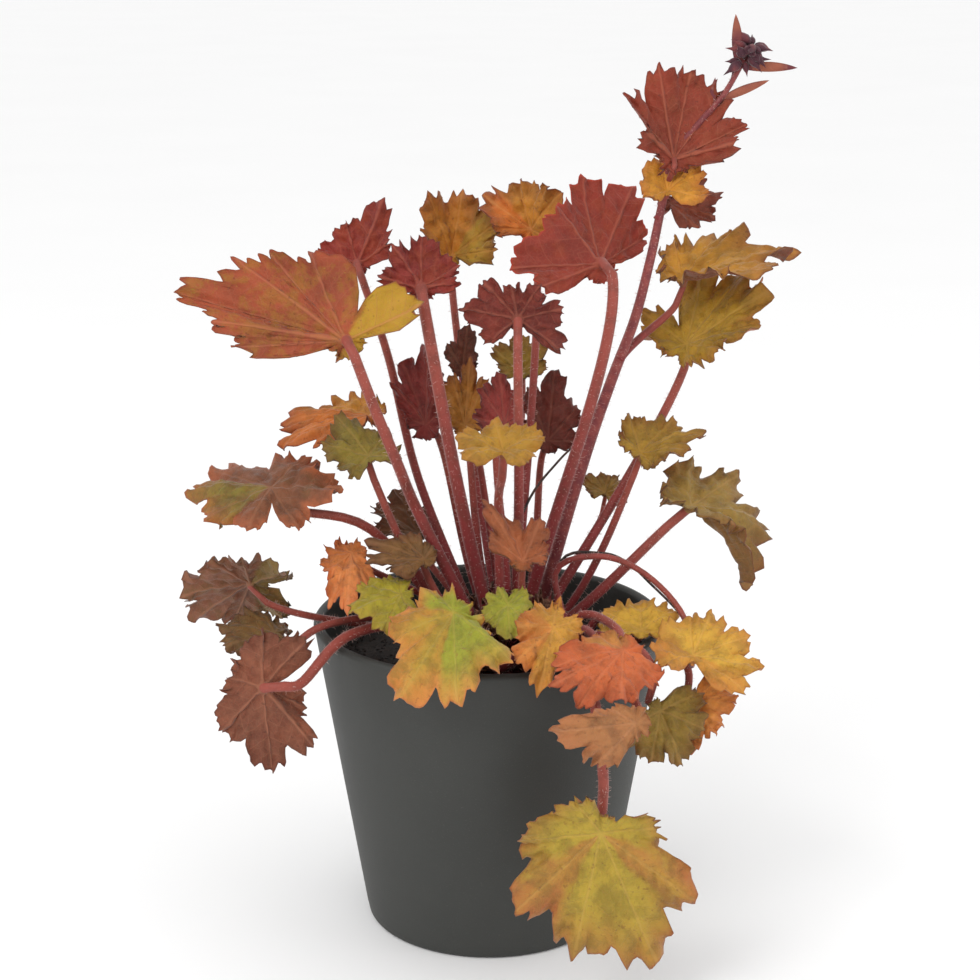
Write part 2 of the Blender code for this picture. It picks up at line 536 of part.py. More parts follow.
def stitch(inner, inner_index, outer, outer_index):
    """Triangles that fill the band between two rings, taken round by their angles."""
    faces = []
    i = 0
    k = 0
    while i < len(inner) or k < len(outer):
        next_inner = inner[(i + 1) % len(inner)] + (2 * np.pi if i + 1 >= len(inner) else 0)
        next_outer = outer[(k + 1) % len(outer)] + (2 * np.pi if k + 1 >= len(outer) else 0)
        here = inner_index[i % len(inner)]
        there = outer_index[k % len(outer)]
        if k < len(outer) and (i >= len(inner) or next_outer <= next_inner):
            faces.append((here, there, outer_index[(k + 1) % len(outer)]))
            k += 1
        else:
            faces.append((here, there, inner_index[(i + 1) % len(inner)]))
            i += 1
    return faces


def smooth_line(points, steps):
    """A Catmull-Rom curve through the points, with the given number of steps between two of them."""
    points = np.array(points, float)
    padded = np.vstack([2 * points[0] - points[1], points, 2 * points[-1] - points[-2]])
    line = []
    for a, b, c, d in zip(padded, padded[1:], padded[2:], padded[3:]):
        for t in np.arange(steps) / steps:
            line.append(0.5 * (2 * b + (c - a) * t + (2 * a - 5 * b + 4 * c - d) * t ** 2
                               + (3 * b - a - 3 * c + d) * t ** 3))
    return np.vstack([line, points[-1]])


def even_line(line, steps):
    """The same line with evenly spaced points."""
    length = np.concatenate([[0], np.cumsum(np.linalg.norm(np.diff(line, axis=0), axis=1))])
    at = np.linspace(0, length[-1], steps + 1)
    return np.stack([np.interp(at, length, line[:, axis]) for axis in range(3)], 1)


def stalk_line(frame, row, root, out, sunk=STALK_SUNK):
    """Middle line of the stalk, from inside the crown to just under the blade.

    It is a free curve from the crown to the blade, or a smooth line through the row's own points.
    """
    top = frame["heart"] - frame["up"] * (UNDER_HUB + HUB_DROP * row["stalk"])
    start = root + out * 1.5
    ahead = unit(top - (row["via"][-1] if row["via"] else start))
    arrive = unit(0.5 * ahead + 0.5 * unit(0.9 * frame["up"] + 0.5 * frame["along"]))
    steep = arrive @ frame["up"]
    if steep < LEAST_STEEP:
        arrive = unit(arrive + frame["up"] * (LEAST_STEEP - steep) * 1.4)
    neck = top - arrive * min(STALK_NECK, 0.25 * np.linalg.norm(top - start))
    if row["via"]:
        points = [start, start + out * 7] + list(row["via"]) + [neck]
        curve = even_line(smooth_line(points, 6), STALK_RINGS + len(row["via"]))
    else:
        length = np.linalg.norm(neck - start)
        leaving = start + out * length * 0.36
        arriving = neck - unit(ahead + arrive) * length * 0.2
        t = np.linspace(0, 1, STALK_RINGS + 1)[:, None]
        curve = (start * (1 - t) ** 3 + 3 * leaving * t * (1 - t) ** 2
                 + 3 * arriving * t ** 2 * (1 - t) + neck * t ** 3)
    return np.vstack([root - out * sunk, curve, top])


def tube_rings(line, radii, sides, start, end_heading=None):
    """Rings of a tube round a line. start is the way that the first point of the last ring faces."""
    steps = unit(np.diff(line, axis=0))
    heading = unit(np.vstack([steps[0], steps[1:] + steps[:-1], steps[-1]]))
    if end_heading is not None:
        heading[-1] = end_heading
    turn = -np.pi + 2 * np.pi * np.arange(sides) / sides
    rings = []
    facing = start
    for point, ahead, radius in zip(line[::-1], heading[::-1], radii[::-1]):
        facing = unit(facing - (facing @ ahead) * ahead)
        side = np.cross(ahead, facing)
        rings.append(point + radius * (np.cos(turn)[:, None] * facing + np.sin(turn)[:, None] * side))
    return np.array(rings[::-1])


def tube_faces(first, rings, sides, close_start=True, close_end=True):
    """Triangles of a tube whose rings follow one another from the vertex number first."""
    faces = []
    for ring in range(rings - 1):
        low = first + ring * sides
        for i in range(sides):
            k = (i + 1) % sides
            faces.append((low + i, low + k, low + sides + i))
            faces.append((low + k, low + sides + k, low + sides + i))
    end = first + (rings - 1) * sides
    for i in range(1, sides - 1):
        if close_start:
            faces.append((first, first + i + 1, first + i))
        if close_end:
            faces.append((end, end + i, end + i + 1))
    return faces


def leaf_solid(row, root, out, sunk=STALK_SUNK):
    """Blade and stalk as one closed skin: upper face, under face, edge and tube, with no cut in it."""
    frame = blade_frame(row)
    rings = blade_rings(frame)
    upper = [frame["heart"]]
    index = []
    for theta, rho in rings:
        index.append(np.arange(len(upper), len(upper) + len(theta)))
        upper += list(blade_point(frame, theta, rho))
    upper = np.array(upper)
    hub = index[0]
    centre_faces = [(0, hub[i], hub[(i + 1) % HUB_SIDES]) for i in range(HUB_SIDES)]
    band_faces = []
    for k in range(len(rings) - 1):
        band_faces += stitch(rings[k][0], index[k], rings[k + 1][0], index[k + 1])
    faces = np.array(centre_faces + band_faces)
    normal = np.zeros_like(upper)
    flat = np.cross(upper[faces[:, 1]] - upper[faces[:, 0]], upper[faces[:, 2]] - upper[faces[:, 0]])
    for corner in range(3):
        np.add.at(normal, faces[:, corner], flat)
    under = (upper - unit(normal) * BLADE_THICKNESS)[1:]
    down = np.arange(len(upper)) + len(upper) - 1
    faces = [tuple(f) for f in faces]
    faces += [tuple(down[list(f[::-1])]) for f in band_faces]
    edge = index[-1]
    for a, b in zip(edge, np.roll(edge, -1)):
        faces += [(a, down[a], down[b]), (a, down[b], b)]
    line = stalk_line(frame, row, root, out, sunk)
    radii = np.linspace(row["stalk"] * 1.12, row["stalk"] * 0.92, len(line))
    tube = tube_rings(line, radii, HUB_SIDES, frame["along"], frame["up"])
    first = len(upper) + len(under)
    faces += tube_faces(first, len(line), HUB_SIDES, close_end=False)
    top = first + (len(line) - 1) * HUB_SIDES
    for i in range(HUB_SIDES):
        k = (i + 1) % HUB_SIDES
        a, b = down[hub[i]], down[hub[k]]
        faces += [(a, top + i, b), (b, top + i, top + k)]
    return np.vstack([upper, under, tube.reshape(-1, 3)]), faces


def spindle(name, start, end, width, colour, sides=4):
    """A narrow closed body, thickest in the middle: a bract or a bud."""
    t = np.array([0, 0.45, 1])[:, None]
    line = np.array(start) + t * (np.array(end, float) - start)
    radii = width * np.array([0.5, 1, 0.2])
    rings = tube_rings(line, radii, sides, np.array([0.3, 0.9, 0.1]))
    return mesh_object(name, rings.reshape(-1, 3), tube_faces(0, len(line), sides), colour)


def build_flower_stem(root, out):
    """Stem, the leaves that grow on it, bracts and bud head, united into one body."""
    start = [root - out * STALK_SUNK, root + out * 1.5]
    line = np.vstack([start[0], smooth_line([start[1]] + SCAPE_LINE, 2)])
    radii = np.linspace(SCAPE_ROOT_RADIUS, SCAPE_TIP_RADIUS, len(line))
    rings = tube_rings(line, radii, 6, np.array([0.0, 1.0, 0.0]))
    stem = mesh_object("flower_stem", rings.reshape(-1, 3), tube_faces(0, len(line), 6), RED)
    parts = []
    for row, join in zip(SCAPE_LEAVES, SCAPE_JOINS):
        join = np.array(join, float)
        way = unit(row["heart"] - join)
        parts.append(mesh_object(row["name"], *leaf_solid(row, join - 1.5 * way, way, 0.5), row["colour"]))
    for start_point, end_point, width in BRACTS:
        parts.append(spindle("bract", start_point, end_point, width, BROWN))
    draw = np.random.default_rng(BUD_SEED)
    axis = np.array(BUD_AXIS, float)
    for share in np.linspace(0, 1, BUD_COUNT):
        spot = axis[0] + share * (axis[1] - axis[0]) + draw.uniform(-1, 1, 3)
        tip = spot + unit(axis[1] - axis[0] + draw.uniform(-BUD_SPREAD, BUD_SPREAD, 3)) * BUD_LENGTH
        parts.append(spindle("bud", spot, tip, BUD_WIDTH, COPPER))
    group = bpy.data.collections.new("flower_stem_parts")
    bpy.context.scene.collection.children.link(group)
    for item in parts:
        bpy.context.scene.collection.objects.unlink(item)
        group.objects.link(item)
    union = stem.modifiers.new("join", "BOOLEAN")
    union.operation = "UNION"
    union.solver = "EXACT"
    union.use_self = True
    union.operand_type = "COLLECTION"
    union.collection = group
    evaluated = stem.evaluated_get(bpy.context.evaluated_depsgraph_get())
    joined = bpy.data.meshes.new_from_object(evaluated)
    stem.modifiers.clear()
    stem.data = joined
    for item in parts:
        bpy.data.objects.remove(item, do_unlink=True)
    bpy.data.collections.remove(group)
    return stem


def build_plant():
    """Crown, leaves and flower stem, each stalk in its own hole."""
    goals = [row["heart"] for row in LEAVES] + [np.array(SCAPE_LINE[0], float)]
    roots = stalk_roots(goals)
    radii = [row["stalk"] * 1.12 for row in LEAVES] + [SCAPE_ROOT_RADIUS]
    build_crown(roots, radii)
    for row, (root, out) in zip(LEAVES, roots):
        mesh_object("leaf_" + row["name"], *leaf_solid(row, root, out), row["colour"])
    build_flower_stem(*roots[-1])


clear_scene()
build_pot()
build_soil()
build_plant()
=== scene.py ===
"""Heuchera plant in its pot: the looks of every piece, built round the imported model.

Lengths in the plant's own tables are millimetres, as in the construction, and meshes are made in metres.
"""

import bpy
import numpy as np
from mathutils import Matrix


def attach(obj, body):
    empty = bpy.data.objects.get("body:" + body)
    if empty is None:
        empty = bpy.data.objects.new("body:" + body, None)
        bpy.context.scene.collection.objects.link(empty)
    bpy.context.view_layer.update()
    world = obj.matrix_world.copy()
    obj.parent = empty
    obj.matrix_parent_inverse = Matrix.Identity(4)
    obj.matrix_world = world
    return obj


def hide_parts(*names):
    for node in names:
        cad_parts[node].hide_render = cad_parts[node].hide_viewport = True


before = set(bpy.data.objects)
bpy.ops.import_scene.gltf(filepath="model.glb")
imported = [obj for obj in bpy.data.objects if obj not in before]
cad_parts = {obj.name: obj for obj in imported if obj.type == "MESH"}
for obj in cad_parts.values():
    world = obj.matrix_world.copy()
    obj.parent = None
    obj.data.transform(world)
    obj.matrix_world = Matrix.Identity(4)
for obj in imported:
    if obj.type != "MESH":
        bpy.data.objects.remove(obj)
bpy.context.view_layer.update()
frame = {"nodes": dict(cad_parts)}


# Room
# A pale seamless floor under a white sky, with one broad soft lamp above to the left and a weaker one
# to the right, as for a cut-out product picture. The camera looks slightly down from the front.

MM = 0.001
IMAGE_SIDE = 980
CAMERA_PLACE = (0.0006, -0.859, 0.428)
CAMERA_PITCH = 15.43
CAMERA_FOCUS = 2110.0
SENSOR_WIDTH = 36.0

camera_data = bpy.data.cameras.new("camera")
camera_data.sensor_width = SENSOR_WIDTH
camera_data.lens = SENSOR_WIDTH * CAMERA_FOCUS / IMAGE_SIDE
camera = bpy.data.objects.new("camera", camera_data)
camera.location = CAMERA_PLACE
camera.rotation_euler = (np.radians(90 - CAMERA_PITCH), 0, 0)
bpy.context.scene.collection.objects.link(camera)
bpy.context.scene.camera = camera
bpy.context.scene.view_settings.view_transform = "Standard"


class Wire:
    """A number in a material: a socket, with the sums that it can be used in."""

    def __init__(self, shade, socket):
        self.shade = shade
        self.socket = socket

    def _sum(self, operation, *values):
        return self.shade.node("ShaderNodeMath", {"operation": operation}, values)

    def __add__(self, other):
        return self._sum("ADD", self, other)

    def __sub__(self, other):
        return self._sum("SUBTRACT", self, other)

    def __rsub__(self, other):
        return self._sum("SUBTRACT", other, self)

    def __mul__(self, other):
        return self._sum("MULTIPLY", self, other)

    def __truediv__(self, other):
        return self._sum("DIVIDE", self, other)

    def size(self):
        """The value without its sign."""
        return self._sum("ABSOLUTE", self)

    def cycle(self):
        """The value's part after the point."""
        return self._sum("FRACT", self)

    def larger(self, other):
        """The larger of two values."""
        return self._sum("MAXIMUM", self, other)

    def ramp(self, low, high):
        """0 below low and 1 above high, eased between them; high may be the smaller."""
        return self.shade.node("ShaderNodeMapRange", {"interpolation_type": "SMOOTHSTEP"},
                               {0: self, 1: low, 2: high, 3: 0.0, 4: 1.0})

    __radd__ = __add__
    __rmul__ = __mul__


class Shade:
    """A material under construction, with its Principled BSDF."""

    def __init__(self, name, roughness=0.5, **constants):
        self.material = bpy.data.materials.new(name)
        self.material.use_nodes = True
        self.tree = self.material.node_tree
        self.surface = self.tree.nodes["Principled BSDF"]
        self.surface.inputs["Roughness"].default_value = roughness
        for socket, value in constants.items():
            self.surface.inputs[socket.replace("_", " ")].default_value = value

    def node(self, kind, settings, values, output=0):
        """A node with its settings made first, then its sockets' values or links."""
        made = self.tree.nodes.new(kind)
        for name, value in settings.items():
            setattr(made, name, value)
        pairs = values.items() if isinstance(values, dict) else enumerate(values)
        for key, value in pairs:
            if isinstance(value, Wire):
                self.tree.links.new(value.socket, made.inputs[key])
            else:
                made.inputs[key].default_value = value
        return Wire(self, made.outputs[output])

    def place(self):
        """Object coordinates."""
        return self.node("ShaderNodeTexCoord", {}, {}, "Object")

    def noise(self, scale, detail=3.0, roughness=0.55, seed=0.0):
        """Soft noise over the surface, scale in patches per metre."""
        moved = self.node("ShaderNodeVectorMath", {"operation": "ADD"},
                          {0: self.place(), 1: (seed, 0, -seed)})
        return self.node("ShaderNodeTexNoise", {},
                         {"Vector": moved, "Scale": scale, "Detail": detail, "Roughness": roughness})

    def cells(self, scale):
        """How far a point lies from the borders of irregular cells."""
        return self.node("ShaderNodeTexVoronoi", {"feature": "DISTANCE_TO_EDGE"},
                         {"Vector": self.place(), "Scale": scale}, "Distance")

    def measure(self, name):
        """A value that the mesh holds for each of its points."""
        return self.node("ShaderNodeAttribute", {"attribute_name": name}, {}, "Fac")

    def layered(self, first, *over):
        """A colour of several tones: the first, and each later one laid over it by its share."""
        colour = first if isinstance(first, Wire) else tone(*first)
        for share, second in over:
            second = second if isinstance(second, Wire) else tone(*second)
            colour = self.node("ShaderNodeMix", {"data_type": "RGBA"}, {0: share, 6: colour, 7: second}, 2)
        return colour

    def feed(self, socket, value):
        """Link a value to one of the surface's sockets."""
        self.tree.links.new(value.socket, self.surface.inputs[socket])

    def paint(self, *layers):
        """Give the surface a colour of several tones."""
        self.feed("Base Color", self.layered(*layers))

    def relief(self, height, depth):
        """Bump from a height between 0 and 1 that stands for a depth in metres."""
        self.feed("Normal", self.node("ShaderNodeBump", {}, {"Height": height, "Distance": depth,
                                                             "Strength": 1.0}))


def tone(red, green, blue, scale=1.0):
    """A colour seen on a screen, 0 to 255, as the light that a surface sends back."""
    seen = np.array([red, green, blue]) * scale / 255
    light = np.where(seen > 0.04045, ((seen + 0.055) / 1.055) ** 2.4, seen / 12.92)
    return (*np.clip(light, 0, 1), 1.0)


FLOOR_SIDE = 30.0
floor_corners = [(x * FLOOR_SIDE, y * FLOOR_SIDE, 0.0) for x, y in ((-1, -1), (1, -1), (1, 1), (-1, 1))]
floor_mesh = bpy.data.meshes.new("floor")
floor_mesh.from_pydata(floor_corners, [], [(0, 1, 2, 3)])
floor = bpy.data.objects.new("floor", floor_mesh)
bpy.context.scene.collection.objects.link(floor)
floor_shade = Shade("floor_paper", roughness=0.9)
floor_shade.paint((247, 247, 247), (floor_shade.noise(3.0), (251, 251, 251)))
floor_mesh.materials.append(floor_shade.material)

world = bpy.data.worlds.new("sky")
world.use_nodes = True
world.node_tree.nodes["Background"].inputs["Color"].default_value = (1.0, 1.0, 1.0, 1)
world.node_tree.nodes["Background"].inputs["Strength"].default_value = 1.0
bpy.context.scene.world = world


PLANT_MIDDLE = (0, 0, 0.2)


def lamp(name, place, side, power):
    """A square area lamp that faces the middle of the plant."""
    data = bpy.data.lights.new(name, "AREA")
    data.size = side
    data.energy = power
    made = bpy.data.objects.new(name, data)
    made.location = place
    away = np.array(place) - np.array(PLANT_MIDDLE)
    tilt = np.arccos(away[2] / np.linalg.norm(away))
    made.rotation_euler = (tilt, 0, np.arctan2(away[1], away[0]) + np.pi / 2)
    bpy.context.scene.collection.objects.link(made)


lamp("key_lamp", (-0.8, -1.1, 1.3), 0.7, 9)
lamp("fill_lamp", (1.2, -0.7, 0.8), 0.9, 3)


# Pot
# A tapered nursery pot of matt anthracite plastic, moulded in one piece, with a rounded thicker lip
# and a closed flat base. It replaces the part's pot with the same profile, turned more finely.

POT_HEIGHT = 135.3
POT_BASE_RADIUS = 52.9
POT_RIM_RADIUS = 75.0
POT_WALL = 2.4
POT_LIP = 4.4
POT_FLOOR = 3.0
POT_FOOT_FILLET = 2.5
POT_CORNER = 3
POT_LIP_DEPTH = 7.0
POT_LIP_FOOT = 10
POT_EDGE_ZONE = 6
POT_SKIN = 0.12
POT_SIDES = 160


def mesh_object(name, vertices, faces, materials, slots=None, measures=None):
    """A piece of one mesh from points in millimetres, with the values that its materials read."""
    mesh = bpy.data.meshes.new(name)
    mesh.from_pydata((np.asarray(vertices) * MM).tolist(), [], [tuple(int(i) for i in f) for f in faces])
    for item in materials:
        mesh.materials.append(item)
    if slots is not None:
        mesh.polygons.foreach_set("material_index", np.asarray(slots, np.int32))
    for key, values in (measures or {}).items():
        attribute = mesh.attributes.new(key, "FLOAT", "POINT")
        attribute.data.foreach_set("value", np.asarray(values, np.float32))
    mesh.shade_smooth()
    made = bpy.data.objects.new(name, mesh)
    bpy.context.scene.collection.objects.link(made)
    return made


def turned(profile, sides, centre=(0, 0, 0)):
    """A turned solid. The profile runs counter-clockwise in (radius, height), from axis to axis."""
    centre = np.array(centre, float)
    turn = 2 * np.pi * np.arange(sides) / sides
    vertices = [centre + (0, 0, profile[0][1])]
    for radius, height in profile[1:-1]:
        ring = np.stack([radius * np.cos(turn), radius * np.sin(turn), np.full(sides, height)], 1)
        vertices += list(centre + ring)
    vertices.append(centre + (0, 0, profile[-1][1]))
    faces = []
    last = len(vertices) - 1
    for i in range(sides):
        k = (i + 1) % sides
        faces.append((0, 1 + k, 1 + i))
        for ring in range(len(profile) - 3):
            low = 1 + ring * sides
            faces.append((low + i, low + k, low + sides + k, low + sides + i))
        faces.append((last, last - sides + i, last - sides + k))
    return np.array(vertices), faces


def arc(centre, radius, start, end, steps):
    """Points (radius, height) along an arc, its angles in degrees."""
    turn = np.radians(np.linspace(start, end, steps + 1))
    return [(centre[0] + radius * np.cos(a), centre[1] + radius * np.sin(a)) for a in turn]


def pot_outside(height):
    """Outer radius of the tapered wall at a height."""
    return POT_BASE_RADIUS + (POT_RIM_RADIUS - POT_BASE_RADIUS) * height / POT_HEIGHT


def stand_for(piece, slot, *nodes):
    """The piece moves with the plant and hides the part's own solids; slot, a finish's name, is not used.
    """
    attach(piece, "root")
    if nodes:
        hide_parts(*nodes)


half_lip = POT_LIP / 2
lip_centre = (POT_RIM_RADIUS - half_lip, POT_HEIGHT - half_lip)
lip_inside = lip_centre[0] - half_lip
lip_foot = POT_HEIGHT - POT_LIP_FOOT
pot_profile = [(0, 0), (POT_BASE_RADIUS - POT_EDGE_ZONE, 0)]
pot_profile += arc((POT_BASE_RADIUS - 2.2, POT_FOOT_FILLET), POT_FOOT_FILLET, -90, -8, 6)
pot_profile += [(pot_outside(z) + POT_SKIN, z)
                for z in np.linspace(POT_EDGE_ZONE, POT_HEIGHT - POT_EDGE_ZONE, 14)]
pot_profile += arc(lip_centre, half_lip, 0, 180, 14)
pot_profile += [(lip_inside, POT_HEIGHT - POT_LIP_DEPTH), (pot_outside(lip_foot) - POT_WALL, lip_foot)]
pot_profile += [(pot_outside(POT_FLOOR + POT_CORNER) - POT_WALL, POT_FLOOR + POT_CORNER)]
pot_profile += [(pot_outside(POT_FLOOR) - POT_WALL - POT_CORNER, POT_FLOOR), (0, POT_FLOOR)]
pot_shade = Shade("pot_plastic", Specular_IOR_Level=0.42)
grain = pot_shade.noise(1500, 4, 0.7)
cloudy = pot_shade.noise(28, 3, 0.5, 1.3)
pot_shade.paint((50, 51, 48), (cloudy.ramp(0.3, 0.7), (54, 55, 52)),
                (grain.ramp(0.58, 0.75) * 0.45, (88, 88, 83)))
pot_shade.feed("Roughness", 0.5 + 0.12 * cloudy + 0.06 * grain)
pot_shade.relief(grain * 0.6 + cloudy * 0.4, 0.00025)
pot = mesh_object("pot_shell", *turned(pot_profile, POT_SIDES), [pot_shade.material])
stand_for(pot, "pot", "pot")


# Soil
# Dark, moist potting compost that fills the pot almost to its lip, a little higher round the crown.
# Its surface is lumpy, and loose crumbs and bits of bark lie on it.

SOIL_GAP = 0.3
SOIL_EDGE_HEIGHT = 113.0
SOIL_MIDDLE_HEIGHT = 117.0
SOIL_STEP_HEIGHT = 1.2
SOIL_STEP_SHARE = 0.78
SOIL_MIDDLE_SHARE = 0.55
SOIL_CORNER = 3.4
SOIL_SIDES = 120
SOIL_RINGS = 34


def lumps(points, scale, seed):
    """Smooth bumps over points in millimetres: a sum of waves in random directions."""
    draw = np.random.default_rng(seed)
    total = np.zeros(len(points))
    for octave in range(3):
        for _ in range(7):
            way = draw.normal(size=3)
            way *= (2.1 ** octave) / (scale * np.linalg.norm(way))
            total += np.sin(points @ way * 2 * np.pi + draw.uniform(0, 6.28)) / (7 * 1.7 ** octave)
    return total


soil_wall = POT_WALL + SOIL_GAP
soil_edge = pot_outside(SOIL_EDGE_HEIGHT) - soil_wall
soil_profile = [(0, POT_FLOOR + SOIL_GAP),
                (pot_outside(POT_FLOOR) - soil_wall - SOIL_CORNER, POT_FLOOR + SOIL_GAP),
                (pot_outside(POT_FLOOR + SOIL_CORNER) - soil_wall, POT_FLOOR + SOIL_CORNER)]
surface = np.linspace(1, 0, SOIL_RINGS + 1)
heights = np.interp(surface, [0, SOIL_MIDDLE_SHARE, SOIL_STEP_SHARE, 1],
                    [SOIL_MIDDLE_HEIGHT, SOIL_MIDDLE_HEIGHT, SOIL_EDGE_HEIGHT + SOIL_STEP_HEIGHT,
                     SOIL_EDGE_HEIGHT])
soil_profile += [(soil_edge * s, z) for s, z in zip(surface, heights)]
soil_points, soil_faces = turned(soil_profile, SOIL_SIDES)
lumpy = soil_points[:, 2] > SOIL_EDGE_HEIGHT - 1
rise = lumps(soil_points, 16, 5) * 1.5 + lumps(soil_points, 4.5, 6) * 0.6
soil_points[lumpy, 2] += rise[lumpy]
soil_shade = Shade("compost", roughness=0.95)
crumb = soil_shade.noise(420, 5, 0.7)
soil_shade.paint((20, 17, 16), (crumb.ramp(0.35, 0.7), (52, 42, 36)),
                 (soil_shade.noise(900, 2, 0.5, 4.0).ramp(0.68, 0.75) * 0.7, (98, 74, 54)))
soil_shade.feed("Roughness", 0.8 + 0.2 * crumb)
soil_shade.relief(crumb, 0.0012)
soil = mesh_object("soil_surface", soil_points, soil_faces, [soil_shade.material])
stand_for(soil, "soil", "soil")


def scattering():
    """A node tree that strews copies of an item over a surface, upright on it and leaning at random."""
    tree = bpy.data.node_groups.new("strewn_items", "GeometryNodeTree")
    inputs = [("Geometry", "NodeSocketGeometry", None), ("Item", "NodeSocketObject", None),
              ("Finish", "NodeSocketMaterial", None), ("Density", "NodeSocketFloat", 1.0),
              ("Smallest", "NodeSocketFloat", 1.0), ("Largest", "NodeSocketFloat", 1.0),
              ("Lean", "NodeSocketFloat", 0.3), ("Seed", "NodeSocketInt", 0)]
    for name, kind, value in inputs:
        socket = tree.interface.new_socket(name, in_out="INPUT", socket_type=kind)
        if value is not None:
            socket.default_value = value
    tree.interface.new_socket("Geometry", in_out="OUTPUT", socket_type="NodeSocketGeometry")
    start = tree.nodes.new("NodeGroupInput")
    end = tree.nodes.new("NodeGroupOutput")
    points = tree.nodes.new("GeometryNodeDistributePointsOnFaces")
    item = tree.nodes.new("GeometryNodeObjectInfo")
    copies = tree.nodes.new("GeometryNodeInstanceOnPoints")
    size = tree.nodes.new("FunctionNodeRandomValue")
    turn = tree.nodes.new("FunctionNodeRandomValue")
    lean = tree.nodes.new("ShaderNodeCombineXYZ")
    less = tree.nodes.new("ShaderNodeVectorMath")
    tilt = tree.nodes.new("FunctionNodeRotateRotation")
    real = tree.nodes.new("GeometryNodeRealizeInstances")
    finish = tree.nodes.new("GeometryNodeSetMaterial")
    turn.data_type = "FLOAT_VECTOR"
    less.operation = "SCALE"
    less.inputs["Scale"].default_value = -1.0
    lean.inputs["Z"].default_value = np.pi
    tilt.rotation_space = "LOCAL"
    item.inputs["As Instance"].default_value = True
    links = [(start, "Geometry", points, "Mesh"), (start, "Density", points, "Density"),
             (start, "Seed", points, "Seed"), (start, "Item", item, "Object"),
             (points, "Points", copies, "Points"), (item, "Geometry", copies, "Instance"),
             (start, "Lean", lean, "X"), (start, "Lean", lean, "Y"), (lean, "Vector", less, 0),
             (less, "Vector", turn, "Min"), (lean, "Vector", turn, "Max"), (start, "Seed", turn, "Seed"),
             (points, "Rotation", tilt, "Rotation"), (turn, "Value", tilt, "Rotate By"),
             (tilt, "Rotation", copies, "Rotation"), (start, "Smallest", size, "Min"),
             (start, "Largest", size, "Max"), (start, "Seed", size, "Seed"),
             (copies, "Instances", real, "Geometry"), (real, "Geometry", finish, "Geometry"),
             (start, "Finish", finish, "Material"), (finish, "Geometry", end, "Geometry")]
    for source, out, target, into in links:
        tree.links.new(source.outputs[out], target.inputs[into])
    number = [socket for socket in size.outputs if socket.enabled][0]
    tree.links.new(number, copies.inputs["Scale"])
    return tree


strewn = scattering()


def strew(name, surface, item, finish, **numbers):
    """Copies of an item over a surface as one plain mesh; the item and the surface are then removed."""
    modifier = surface.modifiers.new("strewn", "NODES")
    modifier.node_group = strewn
    names = {socket.name: socket.identifier for socket in strewn.interface.items_tree
             if socket.in_out == "INPUT"}
    modifier[names["Item"]] = item
    modifier[names["Finish"]] = finish
    for key, value in numbers.items():
        modifier[names[key]] = value
    seen = surface.evaluated_get(bpy.context.evaluated_depsgraph_get())
    mesh = bpy.data.meshes.new_from_object(seen)
    mesh.name = name
    mesh.shade_smooth()
    made = bpy.data.objects.new(name, mesh)
    bpy.context.scene.collection.objects.link(made)
    bpy.data.objects.remove(item, do_unlink=True)
    bpy.data.objects.remove(surface, do_unlink=True)
    return made


# One crumb about 1 mm across, uneven and flattened
CRUMB_UNEVEN = 0.22
crumb_turn = np.radians([-45, 0, 45])
crumb_profile = [(0, -0.5)] + [(0.5 * np.cos(a), 0.5 * np.sin(a)) for a in crumb_turn] + [(0, 0.5)]
crumb_points, crumb_faces = turned(crumb_profile, 6)
uneven = np.random.default_rng(1).uniform(-CRUMB_UNEVEN, CRUMB_UNEVEN, (len(crumb_points), 1))
crumb_points = crumb_points * (1 + uneven)
crumb_item = mesh_object("crumb", crumb_points * (1, 0.8, 0.6), crumb_faces, [])
top_faces = [face for face in soil_faces if lumpy[list(face)].all()]
crumb_ground = mesh_object("crumb_ground", soil_points, top_faces, [])
soil_crumbs = strew("soil_crumbs", crumb_ground, crumb_item, soil_shade.material,
                    Density=70000.0, Smallest=0.7, Largest=2.6, Lean=0.9, Seed=3)
stand_for(soil_crumbs, "soil")


# Crown
# The short woody base of the plant, where all the stalks grow from. It is rough, reddish brown, and
# covered in the dry bases and papery scales of older stalks.

CROWN_CENTRE = np.array([8.0, 2.0, 118.0])
CROWN_RADIUS = 26.0
CROWN_RISE = 22.0
CROWN_PLUG_DEPTH = 14.0
CROWN_RINGS = [(0, 1), (21, 6), (39, 10), (57, 13), (76, 14)]
STALK_SPACING = 7.2


def unit(v):
    """The same direction with length 1, along the last axis."""
    v = np.asarray(v, float)
    return v / np.linalg.norm(v, axis=-1, keepdims=True)


def crown_place(tilt, turn):
    """Point of the crown's dome, and the direction straight out of it there."""
    out = np.array([np.sin(tilt) * np.cos(turn), np.sin(tilt) * np.sin(turn), np.cos(tilt)])
    size = np.array([CROWN_RADIUS, CROWN_RADIUS, CROWN_RISE])
    return CROWN_CENTRE + size * out, unit(out / size)


crown_base = CROWN_CENTRE[2] - CROWN_PLUG_DEPTH
crown_profile = [(0, crown_base), (CROWN_RADIUS - 1, crown_base)]
crown_profile += [(CROWN_RADIUS, z) for z in np.linspace(crown_base + 1, CROWN_CENTRE[2] - 2, 6)]
crown_profile += [(CROWN_RADIUS * np.sin(a), CROWN_CENTRE[2] + CROWN_RISE * np.cos(a))
                  for a in np.radians(np.linspace(90, 3, 26))]
crown_profile.append((0, CROWN_CENTRE[2] + CROWN_RISE))
crown_points, crown_faces = turned(crown_profile, 96, (CROWN_CENTRE[0], CROWN_CENTRE[1], 0))
crown_way = unit(crown_points - CROWN_CENTRE)
crown_rise = lumps(crown_points, 9, 21) * 1.3 + lumps(crown_points, 3, 22) * 0.4
crown_points = crown_points + crown_way * crown_rise[:, None]
crown_shade = Shade("woody_crown", roughness=0.85)
bark = crown_shade.noise(260, 5, 0.7)
